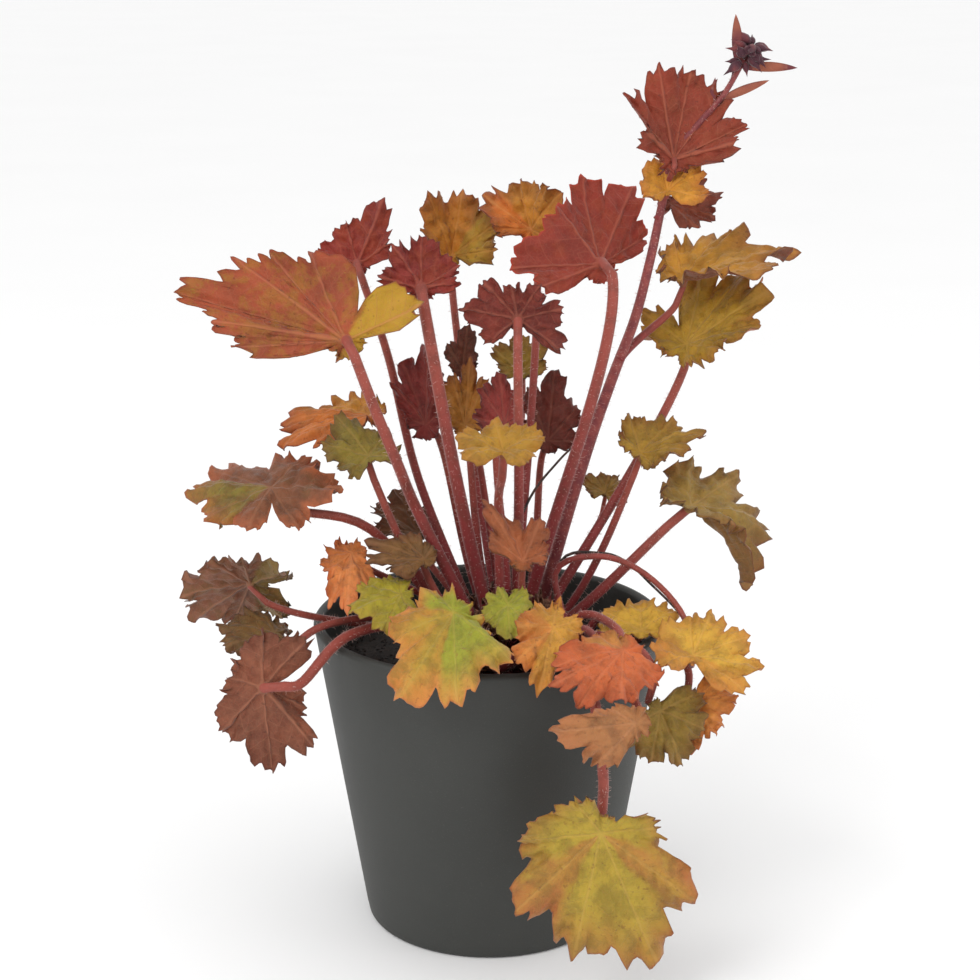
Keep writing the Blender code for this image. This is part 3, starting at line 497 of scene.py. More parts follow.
crown_shade.paint((58, 30, 26), (bark.ramp(0.35, 0.65), (112, 66, 48)),
                  (crown_shade.noise(80, 2, 0.5, 2.0).ramp(0.55, 0.7) * 0.6, (128, 40, 44)))
crown_shade.feed("Roughness", 0.75 + 0.2 * bark)
crown_shade.relief(bark, 0.001)
crown = mesh_object("crown_wood", crown_points, crown_faces, [crown_shade.material])
stand_for(crown, "crown", "crown")

scale_shade = Shade("papery_scales", roughness=0.75)
streak = scale_shade.noise(700, 3, 0.6)
scale_shade.paint((96, 58, 44), (streak.ramp(0.3, 0.7), (168, 124, 96)),
                  (scale_shade.noise(60, 2, 0.5).ramp(0.5, 0.62), (120, 44, 46)))
scale_shade.relief(streak, 0.0004)


def closed_sheet(front, shift, columns):
    """A thin closed sheet from points in rows: its points, the back shifted from the front, and faces."""
    count = len(front)
    faces = []
    for low in range(0, count - columns, columns):
        for a in range(low, low + columns - 1):
            b = a + columns
            faces.append((a, a + 1, b + 1, b))
            faces.append((count + a, count + b, count + b + 1, count + a + 1))
        for a, b in ((low + columns, low), (low + columns - 1, low + 2 * columns - 1)):
            faces.append((b, b + count, a + count, a))
    for a in range(columns - 1):
        b = count - columns + a
        faces.append((a, a + count, a + 1 + count, a + 1))
        faces.append((b, b + 1, b + 1 + count, b + count))
    return np.vstack([front, front + shift]), faces


# One dry scale about 1 mm long, pointed and cupped
scale_front = []
for height in np.linspace(0, 1, 5):
    half = 0.34 * np.sin(np.pi * (0.16 + 0.84 * height)) ** 0.8
    scale_front += [(-half, 0.15 * half, height), (0, -0.10, height), (half, 0.15 * half, height)]
scale_front = np.array(scale_front) + (0, -0.18, 0) * np.array(scale_front)[:, 2:] ** 2
scale_item = mesh_object("scale", *closed_sheet(scale_front, (0, 0.06, 0), 3), [])
bare_faces = [face for face in crown_faces if (crown_points[list(face), 2] > SOIL_MIDDLE_HEIGHT).all()]
crown_skin = mesh_object("crown_skin", crown_points, bare_faces, [])
scales = strew("crown_scales", crown_skin, scale_item, scale_shade.material,
               Density=150000.0, Smallest=4.0, Largest=9.0, Lean=0.55, Seed=11)
stand_for(scales, "crown")


# Leaves
# Each leaf grew as one piece: a hairy stalk that stands in the crown, and a thin lobed blade with
# toothed, ruffled edges and raised veins. They are matt, red when young and amber to olive when older.

STALK_SUNK = 5.0
STALK_RINGS = 26
STALK_SIDES = 12
STALK_NECK = 9.0
BLADE_THICKNESS = 0.5
NOTCH = 0.2
SHOULDER = 0.60
SINUS_REACH = 0.2
SINUS_LONGEST = 8.5
TOOTH = 0.075
TEETH = 1.6
NOTCH_FALL = 2.9
SINUS_FALL = 2.6
BEND_GROWTH = 1.4
RUFFLE_GROWTH = 2.2
RUFFLE_WAVES = (7, 10)
RUFFLE_SHARES = (0.62, 0.38)
SINUS_CALM = 0.7
UNEVEN_BEND = 8.0
HUB_WIDTH = 1.5
HUB_DROP = 1.1
HUB_CLEAR = 1.6
UNDER_HUB = 0.8
LEAST_STEEP = 0.6
BLADE_RINGS = 20
LOBE_STEPS = 11
BASAL_STEPS = 13
STALK_TAPER = (1.12, 0.92)
STALK_START = 1.5
STALK_STRAIGHT = 7

# Fine detail of the visible blades: ripples and fine teeth at the edge, quilting between the veins,
# crumpling all over, and the height of the veins, in mm or as shares
RIPPLE = 0.55
RIPPLE_WAVES = (23, 31)
RIPPLE_GROWTH = 5
QUILT = 0.42
FINE_TEETH = 46
FINE_TOOTH = 0.07
BASAL_TOOTH = 1.4
CRUMPLE = 1.2
VEIN_SPACING = 6.5
VEIN_LEAN = 0.8
VEIN_HOLLOW = 0.16
VEIN_RIDGE = 0.5

RED = "leaf_red"
BROWN = "leaf_brown"
ORANGE = "leaf_orange"
AMBER = "leaf_amber"
YELLOW = "leaf_yellow"
OLIVE = "leaf_olive"
GREEN = "leaf_green"
SALMON = "leaf_salmon"
COPPER = "leaf_copper"


def leaf(name, heart, colour, stalk, seed, tips, curl=-15, ruffle=0.08, via=(), notch=NOTCH,
         shoulder=SHOULDER):
    """One leaf: the point where the stalk meets the blade, and the tips of its lobes.

    The tips go round counter-clockwise seen from above the leaf. curl is how far each lobe bends up
    (down where negative) between heart and tip in degrees, ruffle the height of the waves at the edge
    as a share of the blade, stalk the stalk's radius, and via the points that the stalk passes through.
    notch is how deep the blade is cut between lobes, one share for all or one for each gap, and shoulder
    how far round the blade runs past its first and last lobe before it falls back to the heart.
    """
    return dict(name=name, heart=np.array(heart, float), colour=colour, stalk=stalk, seed=seed,
                tips=np.array(tips, float), curl=curl, ruffle=ruffle, via=via, notch=notch,
                shoulder=shoulder)


# Places in millimetres, the same as in the construction. They were read in the picture and
# turned into millimetres with the fitted camera. How far each leaf stands back is estimated.
LEAVES = [
    leaf("upper_left_red", (-58, -20, 259), RED, 2.3, 3, curl=(-20, -15, -15, -18, -20, -25, -20),
         ruffle=0.04, notch=(0.12, 0.12, 0.12, 0.1, 0.12, 0.6), shoulder=0.3,
         via=[(-30, -10, 185), (-37, -24, 208), (-47, -30, 236)],
         tips=[(-103, -38, 260), (-114, -36, 271), (-131, -32, 283), (-102, -26, 295), (-90, -22, 299),
               (-73, -16, 296), (-25, -14, 273)]),
    leaf("upper_mid_red", (-56, 36, 281), RED, 1.8, 4, curl=(0, -10, -15, 0, -40), ruffle=0.06,
         via=[(-31, 27, 190), (-43, 34, 240)],
         tips=[(-72, 28, 279), (-74, 34, 287), (-62, 42, 299), (-44, 42, 309), (-40, 34, 292)]),
    leaf("tall_pink_stalk", (-28, 5, 276), RED, 2.6, 5, curl=-10, ruffle=0.1,
         tips=[(-46, 0, 282), (-40, 4, 295), (-28, 8, 299), (-11, 4, 286), (-11, 0, 280)]),
    leaf("top_mustard", (-16, 45, 283), AMBER, 1.7, 6, ruffle=0.1,
         tips=[(5, 32, 288), (8, 40, 302), (-11, 50, 312), (-26, 42, 312), (-28, 32, 292)]),
    leaf("top_orange", (18, 36, 296), ORANGE, 1.7, 7, curl=-25, ruffle=0.13,
         tips=[(27, 26, 293), (30, 24, 314), (13, 41, 317), (-4, 44, 311), (1, 32, 297)]),
    leaf("big_red_funnel", (46, 10, 285), RED, 2.4, 8, curl=-12, ruffle=0.05, notch=0.16, shoulder=0.35,
         tips=[(17, -5, 277), (7, 0, 286), (28, 14, 311), (38, 30, 321), (62, 38, 316), (69, 34, 295)]),
    leaf("right_olive", (84, 22, 249), OLIVE, 2.0, 10, notch=(0.2, 0.25, 0.2, 0.15, 0.25, 0.7, 0.2),
         tips=[(85, 8, 241), (98, 4, 250), (115, 8, 261), (121, 18, 274), (112, 32, 283), (94, 42, 278),
               (66, 36, 260), (73, 18, 247)]),
    leaf("right_small_olive", (64, 5, 206), OLIVE, 1.6, 11, curl=(-15, -20, -60, -20, -10, -20),
         tips=[(70, -6, 202), (85, -8, 212), (93, 4, 214), (80, 16, 218), (60, 16, 220), (54, 4, 214)]),
    leaf("right_drooping", (86, 0, 184), OLIVE, 2.1, 12, curl=(-30, -45, -60, -15, 20, 0),
         tips=[(103, -24, 183), (115, -6, 147), (122, 14, 169), (108, 26, 190), (88, 22, 199),
               (72, 0, 188)]),
    leaf("back_small_olive", (52, 50, 176), OLIVE, 1.1, 13,
         tips=[(60, 40, 172), (64, 44, 182), (54, 56, 183), (41, 52, 183), (44, 44, 177)]),
    leaf("mid_red_right", (12, -9, 266), RED, 2.0, 14, curl=-20, shoulder=0.3,
         tips=[(-2, -13, 256), (-12, -15, 272), (-3, -15, 283), (9, -14, 282), (21, -14, 281),
               (31, -15, 271), (32, -16, 253)]),
    leaf("mid_red_left", (-27, 22, 214), RED, 1.7, 15, curl=0,
         tips=[(-21, 20, 220), (-20, 16, 239), (-26, 22, 252), (-38, 26, 243), (-42, 28, 232),
               (-37, 24, 217)]),
    leaf("inner_brown", (-11, 25, 237), BROWN, 1.5, 16, curl=0, ruffle=0.04, notch=0.27,
         tips=[(-5, 22, 242), (-9, 30, 257), (-18, 26, 249), (-16, 22, 238)]),
    leaf("inner_mustard", (-10, 12, 216), AMBER, 1.6, 17, curl=5, notch=0.27,
         tips=[(1, 8, 219), (-1, 14, 237), (-8, 20, 245), (-16, 18, 238), (-18, 10, 220)]),
    leaf("inner_red", (7, 2, 219), RED, 1.6, 18, curl=8, ruffle=0.1,
         tips=[(14, 6, 220), (13, 8, 235), (5, 4, 242), (-4, -2, 237), (-6, -4, 223)]),
    leaf("inner_olive", (15, 58, 229), OLIVE, 1.4, 19, curl=3, ruffle=0.06,
         tips=[(26, 53, 232), (25, 59, 244), (14, 63, 246), (1, 59, 241), (4, 53, 230)]),
    leaf("right_dark_red", (26, 38, 203), BROWN, 1.6, 20, curl=-5,
         tips=[(39, 36, 203), (40, 42, 218), (29, 46, 235), (17, 40, 227), (15, 34, 209)]),
    leaf("centre_yellow", (6, -36, 217), YELLOW, 1.9, 21, curl=-45,
         via=[(5, -16, 150), (4, -20, 190)],
         tips=[(15, -52, 215), (24, -34, 225), (2, -22, 226), (-14, -34, 223), (-11, -50, 217)]),
    leaf("low_centre_brown", (14, -38, 171), BROWN, 1.6, 22, curl=-20, ruffle=0.06,
         tips=[(25, -42, 176), (22, -28, 187), (7, -24, 187), (-3, -26, 195), (-1, -34, 182)]),
    leaf("left_orange", (-51, 19, 219), ORANGE, 1.6, 24, curl=(-20, -30, -40, -50, -40),
         via=[(-36, 14, 190), (-43, 15, 212)],
         tips=[(-57, 34, 225), (-73, 36, 220), (-91, 26, 212), (-92, 8, 206), (-70, -2, 209)]),
    leaf("left_olive", (-50, -12, 209), OLIVE, 1.7, 25, curl=-20,
         tips=[(-35, -14, 209), (-43, 0, 215), (-65, 2, 223), (-70, -10, 213), (-58, -24, 203)]),
    leaf("left_long", (-90, -18, 197), BROWN, 2.0, 26, curl=-25, ruffle=0.07,
         notch=(0.27, 0.27, 0.42, 0.2, 0.2, 0.35), via=[(-50, -4, 175)],
         tips=[(-77, -36, 183), (-59, -22, 197), (-76, 4, 205), (-119, 14, 193), (-129, -4, 192),
               (-117, -26, 184), (-98, -40, 184)]),
    leaf("left_dark", (-31, 27, 164), BROWN, 1.5, 27, curl=-20,
         tips=[(-25, 34, 171), (-42, 38, 182), (-52, 28, 177), (-50, 16, 169), (-36, 14, 164)]),
    leaf("left_low_brown", (-27, -18, 166), BROWN, 1.8, 28, curl=-25, notch=0.27,
         tips=[(-23, -14, 170), (-38, -14, 176), (-52, -20, 175), (-52, -27, 168), (-41, -32, 164)]),
    leaf("left_salmon", (-58, -9, 166), SALMON, 1.5, 29, ruffle=0.07,
         tips=[(-66, -3, 168), (-68, -21, 160), (-66, -35, 152), (-58, -41, 148), (-50, -27, 155)]),
    leaf("left_brown_flat", (-99, -22, 157), BROWN, 1.5, 30, curl=-8, ruffle=0.07,
         tips=[(-87, -6, 136), (-110, 0, 131), (-128, -4, 133), (-130, -18, 152), (-115, -36, 171),
               (-100, -44, 176), (-81, -40, 169)]),
    leaf("left_brown_small", (-89, -30, 138), BROWN, 1.7, 31, curl=-25,
         via=[(-38, -14, 139), (-68, -24, 139)],
         tips=[(-86, -12, 135), (-99, -13, 143), (-114, -27, 141), (-109, -45, 136), (-91, -54, 130)]),
    leaf("left_drooping", (-91, -60, 125), COPPER, 2.2, 32, curl=(-20, 20, -20, -25, -20, -25, -40),
         via=[(-36, -28, 140), (-59, -43, 140), (-75, -60, 127)],
         tips=[(-74, -52, 112), (-70, -58, 97), (-87, -70, 91), (-109, -66, 108), (-106, -62, 131),
               (-92, -58, 149), (-71, -54, 146)]),
    leaf("front_yellow_left", (-36, -34, 156), YELLOW, 1.8, 33, curl=-20, ruffle=0.05,
         tips=[(-37, -22, 160), (-54, -30, 159), (-57, -50, 153), (-42, -62, 148), (-30, -52, 149)]),
    leaf("front_green", (-14, -60, 157), GREEN, 2.2, 34, curl=-27,
         tips=[(-21, -46, 162), (-39, -72, 149), (-34, -100, 130), (-12, -104, 133), (10, -92, 146),
               (-3, -62, 152)]),
    leaf("front_small_green", (8, -42, 154), GREEN, 1.6, 35,
         tips=[(4, -34, 159), (-1, -50, 149), (9, -64, 146), (14, -54, 152), (14, -34, 159)]),
    leaf("front_right_yellow", (26, -64, 152), AMBER, 2.0, 36, curl=-20, via=[(16, -36, 142)],
         tips=[(27, -52, 159), (10, -68, 153), (10, -82, 142), (19, -91, 133), (31, -77, 144),
               (38, -62, 154)]),
    leaf("right_yellow", (63, -34, 140), YELLOW, 1.8, 37, curl=-8,
         tips=[(81, -32, 138), (79, -20, 146), (64, -14, 148), (47, -20, 145), (44, -32, 138)]),
    leaf("right_wide", (83, -50, 135), YELLOW, 1.3, 38, curl=-20,
         via=[(28, -12, 158), (46, -14, 166), (64, -16, 160), (79, -24, 147), (84, -34, 135)],
         tips=[(104, -70, 126), (112, -62, 133), (107, -48, 142), (93, -32, 148), (83, -32, 147),
               (68, -62, 135)]),
    leaf("front_orange", (53, -76, 147), ORANGE, 1.8, 39, ruffle=0.06,
         via=[(38, -32, 146), (52, -52, 147)],
         tips=[(41, -72, 152), (24, -94, 147), (22, -104, 140), (33, -107, 134), (50, -103, 133),
               (68, -86, 136)]),
    leaf("front_pale", (56, -109, 129), COPPER, 1.8, 40, curl=-22,
         via=[(35, -38, 142), (45, -60, 143), (59, -80, 124)],
         tips=[(45, -107, 135), (22, -113, 127), (39, -113, 112)]),
    leaf("right_olive_low", (69, -66, 117), OLIVE, 1.7, 41, curl=-20, ruffle=0.07,
         via=[(40, -40, 140), (58, -54, 141), (67, -55, 130)],
         tips=[(46, -84, 112), (64, -84, 101), (77, -80, 98), (88, -68, 110), (88, -54, 121)]),
    leaf("right_orange_low", (83, -50, 116), ORANGE, 1.7, 42, curl=-20,
         via=[(48, -12, 139), (71, -26, 138.5), (82, -38, 126)],
         tips=[(72, -66, 104), (82, -72, 100), (92, -66, 106), (102, -56, 118), (100, -44, 126)]),
    leaf("hanging", (44, -99, 79), YELLOW, 2.3, 43, curl=-12, ruffle=0.06,
         notch=(0.15, 0.15, 0.18, 0.12, 0.15, 0.25),
         via=[(27, -42, 139), (36, -66, 139), (42, -79, 125), (45, -91, 100)],
         tips=[(32, -101, 95), (11, -98, 75), (9, -99, 45), (33, -103, 26), (68, -101, 21),
               (83, -96, 49), (69, -93, 79)]),
]


def spread_round(angles, least):
    """Angles round a circle, in rising order, pushed apart until neighbours are far enough apart."""
    for _ in range(300):
        gaps = np.roll(angles, -1) - angles
        gaps[-1] += 2 * np.pi
        push = np.maximum(least - gaps, 0) / 2
        angles = angles - push + np.roll(push, 1)
    return angles


def stalk_roots(goals):
    """Where each stalk leaves the crown and which way it points, for the stalks' goals in order.

    The most upright stalks stand in the middle. Round each ring they follow the way they lean, as
    far as their spacing allows.
    """
    away = np.array(goals) - (CROWN_CENTRE + (0, 0, 10))
    lean = np.arctan2(np.hypot(away[:, 0], away[:, 1]), away[:, 2])
    compass = np.arctan2(away[:, 1], away[:, 0])
    order = list(np.argsort(lean, kind="stable"))
    roots = {}
    for tilt, places in CROWN_RINGS:
        members = sorted(order[:places], key=lambda i: compass[i])
        order = order[places:]
        if not members:
            break
        spacing = STALK_SPACING / (CROWN_RADIUS * np.sin(np.radians(tilt)) + 0.01)
        turns = spread_round(compass[members], min(spacing, 2 * np.pi / len(members)))
        for i, turn in zip(members, turns):
            point, out = crown_place(np.radians(tilt), turn)
            roots[i] = (point, unit(0.55 * out + 0.45 * unit(goals[i] - point)))
    return [roots[i] for i in range(len(goals))]


def blade_frame(row):
    """The blade's own axes and, for each lobe, its angle round the heart, reach, slope and bend."""
    spread = row["tips"] - row["heart"]
    up = unit(np.cross(spread[:-1], spread[1:]).sum(0))
    flat = spread - np.outer(spread @ up, up)
    middle = unit(flat[len(flat) // 2])
    angles = np.unwrap(np.arctan2(flat @ np.cross(up, middle), flat @ middle))
    centre = (angles[0] + angles[-1]) / 2
    along = np.cos(centre) * middle + np.sin(centre) * np.cross(up, middle)
    length = np.linalg.norm(spread, axis=1)
    jitter = np.random.default_rng(row["seed"] + 50).uniform(-1, 1, len(length))
    bend = np.radians(np.broadcast_to(row["curl"], len(length)) + UNEVEN_BEND * jitter)
    mean_bend = bend / (1 + BEND_GROWTH)
    return dict(
        heart=row["heart"], up=up, along=along, across=np.cross(up, along), size=length.max(),
        angles=angles - centre, reach=length / length.max() * (1 + bend ** 2 / 60),
        slope=np.arcsin(np.clip(spread @ up / length, -1, 1)) - mean_bend, bend=bend,
        ruffle=row["ruffle"], notch=np.broadcast_to(row["notch"], len(length) - 1),
        shoulder=row["shoulder"], hub=HUB_WIDTH * row["stalk"],
        phase=np.random.default_rng(row["seed"]).uniform(0, 2 * np.pi, 2))


def round_lobes(frame, theta, values):
    """A value given for each lobe, eased from lobe to lobe, and to their mean at the sinus."""
    angles = np.concatenate([[-np.pi], frame["angles"], [np.pi]])
    sinus = 0.5 * (values[0] + values[-1])
    values = np.concatenate([[sinus], values, [sinus]])
    i = np.clip(np.searchsorted(angles, theta, side="right") - 1, 0, len(angles) - 2)
    share = (theta - angles[i]) / (angles[i + 1] - angles[i])
    ease = 0.5 - 0.5 * np.cos(np.pi * share)
    return values[i] * (1 - ease) + values[i + 1] * ease


def lobe_borders(frame):
    """Angles halfway between lobes, with the sinus at both ends."""
    angles = frame["angles"]
    return np.concatenate([[-np.pi], (angles[1:] + angles[:-1]) / 2, [np.pi]])


def edge_reach(frame, theta):
    """How far the blade's edge lies from the heart: rounded lobes with blunt teeth and a deep sinus."""
    angles = frame["angles"]
    last = len(angles) - 1
    borders = lobe_borders(frame)
    i = np.clip(np.searchsorted(borders, theta, side="right") - 1, 0, last)
    basal = ((i == 0) & (theta < angles[0])) | ((i == last) & (theta > angles[-1]))
    half = np.where(theta < angles[i], angles[i] - borders[i], borders[i + 1] - angles[i])
    half = np.where(basal, np.minimum(half, frame["shoulder"]), half)
    out = np.abs(theta - angles[i]) / half
    full = round_lobes(frame, theta, frame["reach"])
    sinus = max(min(SINUS_REACH, SINUS_LONGEST / frame["size"]), HUB_CLEAR * frame["hub"] / frame["size"])
    gap = np.clip(np.where(theta < angles[i], i - 1, i), 0, last - 1)
    depth = np.where(basal, 1 - sinus / full, frame["notch"][gap])
    lobed = full * (1 - depth * np.minimum(out, 1) ** np.where(basal, SINUS_FALL, NOTCH_FALL))
    tooth = 1 - np.abs(np.cos(TEETH * np.pi * out)) ** 0.8
    return lobed * (1 - TOOTH * tooth * np.where(basal, np.clip(1 - out, 0, 1), 1.0))


def blade_point(frame, theta, rho):
    """Points of the upper face at angle theta and share rho of the way from heart to edge."""
    nodes, weights = np.polynomial.legendre.leggauss(6)
    nodes = (nodes + 1) / 2
    weights = weights / 2
    phase = frame["phase"]
    basal = np.abs(theta) > np.abs(frame["angles"][[0, -1]]).min()
    serrate = np.abs(np.sin(FINE_TEETH * theta / 2 + phase[0])) * rho ** 10 * (1 + BASAL_TOOTH * basal)
    reach = edge_reach(frame, theta) * frame["size"] * (1 - FINE_TOOTH * serrate)
    slope = round_lobes(frame, theta, frame["slope"])
    bend = round_lobes(frame, theta, frame["bend"])
    heading = slope[:, None] + bend[:, None] * (rho[:, None] * nodes) ** BEND_GROWTH
    outward = rho * (weights * np.cos(heading)).sum(1) * reach
    upward = rho * (weights * np.sin(heading)).sum(1) * reach
    end = slope + bend * rho ** BEND_GROWTH
    wave = sum(share * np.sin(turns * theta + start)
               for share, turns, start in zip(RUFFLE_SHARES, RUFFLE_WAVES, phase))
    ripple = (np.sin(RIPPLE_WAVES[0] * theta + 5 * phase[0])
              + 0.7 * np.sin(RIPPLE_WAVES[1] * theta + 3 * phase[1]))
    fade = np.clip((np.pi - np.abs(theta)) / SINUS_CALM, 0, 1)
    ruffle = rho ** RUFFLE_GROWTH * wave + RIPPLE * rho ** RIPPLE_GROWTH * ripple
    across, along = vein_place(frame, theta, rho)
    quilt = np.cos(2 * np.pi * (along - VEIN_LEAN * across) / VEIN_SPACING)
    quilt = quilt * np.clip(across / 1.5, 0, 1) * np.clip(along / 10, 0, 1) * (1 - rho ** 6)
    lift = frame["ruffle"] * frame["size"] * fade * ruffle - QUILT * quilt
    outward = outward - lift * np.sin(end)
    upward = upward + lift * np.cos(end)
    ray = np.cos(theta)[:, None] * frame["along"] + np.sin(theta)[:, None] * frame["across"]
    return frame["heart"] + outward[:, None] * ray + upward[:, None] * frame["up"]


def vein_place(frame, theta, rho):
    """How far points lie sideways from their lobe's own main vein and outward from the heart, in mm."""
    reach = edge_reach(frame, theta) * frame["size"] * rho
    nearest = np.abs(theta[:, None] - frame["angles"]).min(1)
    return np.sin(np.minimum(nearest, np.pi / 2)) * reach, reach


def blade_spokes(frame):
    """Angles of the blade's mesh round the heart, closer together near each lobe's main vein."""
    angles = frame["angles"]
    borders = lobe_borders(frame)
    steps = np.linspace(0, 1, LOBE_STEPS + 1)[:-1] ** 1.2
    spokes = []
    for i, angle in enumerate(angles):
        sides = [(-1, angle - borders[i], i == 0), (1, borders[i + 1] - angle, i == len(angles) - 1)]
        for side, half, basal in sides:
            shoulder = min(half, frame["shoulder"] * 1.3) if basal else half
            turns = list(steps * shoulder)
            if basal and shoulder < half:
                turns += list(np.linspace(shoulder, half, BASAL_STEPS + 1)[:-1])
            spokes += [angle + side * turn for turn in turns]
        if i < len(angles) - 1:
            spokes.append(borders[i + 1])
    return np.unique(np.round(np.concatenate([[-np.pi], spokes]), 6))


def stitch(inner, inner_index, outer, outer_index):
    """Triangles that fill the band between two rings, taken round by their angles."""
    faces = []
    i = 0
    k = 0
    while i < len(inner) or k < len(outer):
        next_inner = inner[(i + 1) % len(inner)] + (2 * np.pi if i + 1 >= len(inner) else 0)
        next_outer = outer[(k + 1) % len(outer)] + (2 * np.pi if k + 1 >= len(outer) else 0)
        here = inner_index[i % len(inner)]
        there = outer_index[k % len(outer)]
        if k < len(outer) and (i >= len(inner) or next_outer <= next_inner):
            faces.append((here, there, outer_index[(k + 1) % len(outer)]))
            k += 1
        else:
            faces.append((here, there, inner_index[(i + 1) % len(inner)]))
            i += 1
    return faces


def smooth_line(points, steps):
    """A Catmull-Rom curve through the points, with the given number of steps between two of them."""
    points = np.array(points, float)
    padded = np.vstack([2 * points[0] - points[1], points, 2 * points[-1] - points[-2]])
    line = []
    for a, b, c, d in zip(padded, padded[1:], padded[2:], padded[3:]):
        for t in np.arange(steps) / steps:
            line.append(0.5 * (2 * b + (c - a) * t + (2 * a - 5 * b + 4 * c - d) * t ** 2
                               + (3 * b - a - 3 * c + d) * t ** 3))
    return np.vstack([line, points[-1]])


def even_line(line, steps):
    """The same line with evenly spaced points."""
    length = np.concatenate([[0], np.cumsum(np.linalg.norm(np.diff(line, axis=0), axis=1))])
    at = np.linspace(0, length[-1], steps + 1)
    return np.stack([np.interp(at, length, line[:, axis]) for axis in range(3)], 1)


def stalk_line(frame, row, root, out, sunk=STALK_SUNK):
    """Middle line of the stalk, from inside the crown to just under the blade.

    It is a free curve from the crown to the blade, or a smooth line through the row's own points.
    """
    top = frame["heart"] - frame["up"] * (UNDER_HUB + HUB_DROP * row["stalk"])
    start = root + out * STALK_START
    ahead = unit(top - (row["via"][-1] if row["via"] else start))
    arrive = unit(0.5 * ahead + 0.5 * unit(0.9 * frame["up"] + 0.5 * frame["along"]))
    steep = arrive @ frame["up"]
    if steep < LEAST_STEEP:
        arrive = unit(arrive + frame["up"] * (LEAST_STEEP - steep) * 1.4)
    neck = top - arrive * min(STALK_NECK, 0.25 * np.linalg.norm(top - start))
    if row["via"]:
        points = [start, start + out * STALK_STRAIGHT] + list(row["via"]) + [neck]
        curve = even_line(smooth_line(points, 6), STALK_RINGS + len(row["via"]))
    else:
        length = np.linalg.norm(neck - start)
        leaving = start + out * length * 0.36
        arriving = neck - unit(ahead + arrive) * length * 0.2
        t = np.linspace(0, 1, STALK_RINGS + 1)[:, None]
        curve = (start * (1 - t) ** 3 + 3 * leaving * t * (1 - t) ** 2
                 + 3 * arriving * t ** 2 * (1 - t) + neck * t ** 3)
    return np.vstack([root - out * sunk, curve, top])


def tube_rings(line, radii, sides, start, end_heading=None):
    """Rings of a tube round a line. start is the way that the first point of the last ring faces."""
    steps = unit(np.diff(line, axis=0))
    heading = unit(np.vstack([steps[0], steps[1:] + steps[:-1], steps[-1]]))
    if end_heading is not None:
        heading[-1] = end_heading
    turn = -np.pi + 2 * np.pi * np.arange(sides) / sides
    rings = []
    facing = start
    for point, ahead, radius in zip(line[::-1], heading[::-1], radii[::-1]):
        facing = unit(facing - (facing @ ahead) * ahead)
        side = np.cross(ahead, facing)
        rings.append(point + radius * (np.cos(turn)[:, None] * facing + np.sin(turn)[:, None] * side))
    return np.array(rings[::-1])


def tube_faces(first, rings, sides, close_end=True):
    """Triangles of a tube whose rings follow one another from the vertex number first."""
    faces = []
    for ring in range(rings - 1):
        low = first + ring * sides
        for i in range(sides):
            k = (i + 1) % sides
            faces.append((low + i, low + k, low + sides + i))
            faces.append((low + k, low + sides + k, low + sides + i))
    end = first + (rings - 1) * sides
    for i in range(1, sides - 1):
        faces.append((first, first + i + 1, first + i))
        if close_end:
            faces.append((end, end + i, end + i + 1))
    return faces


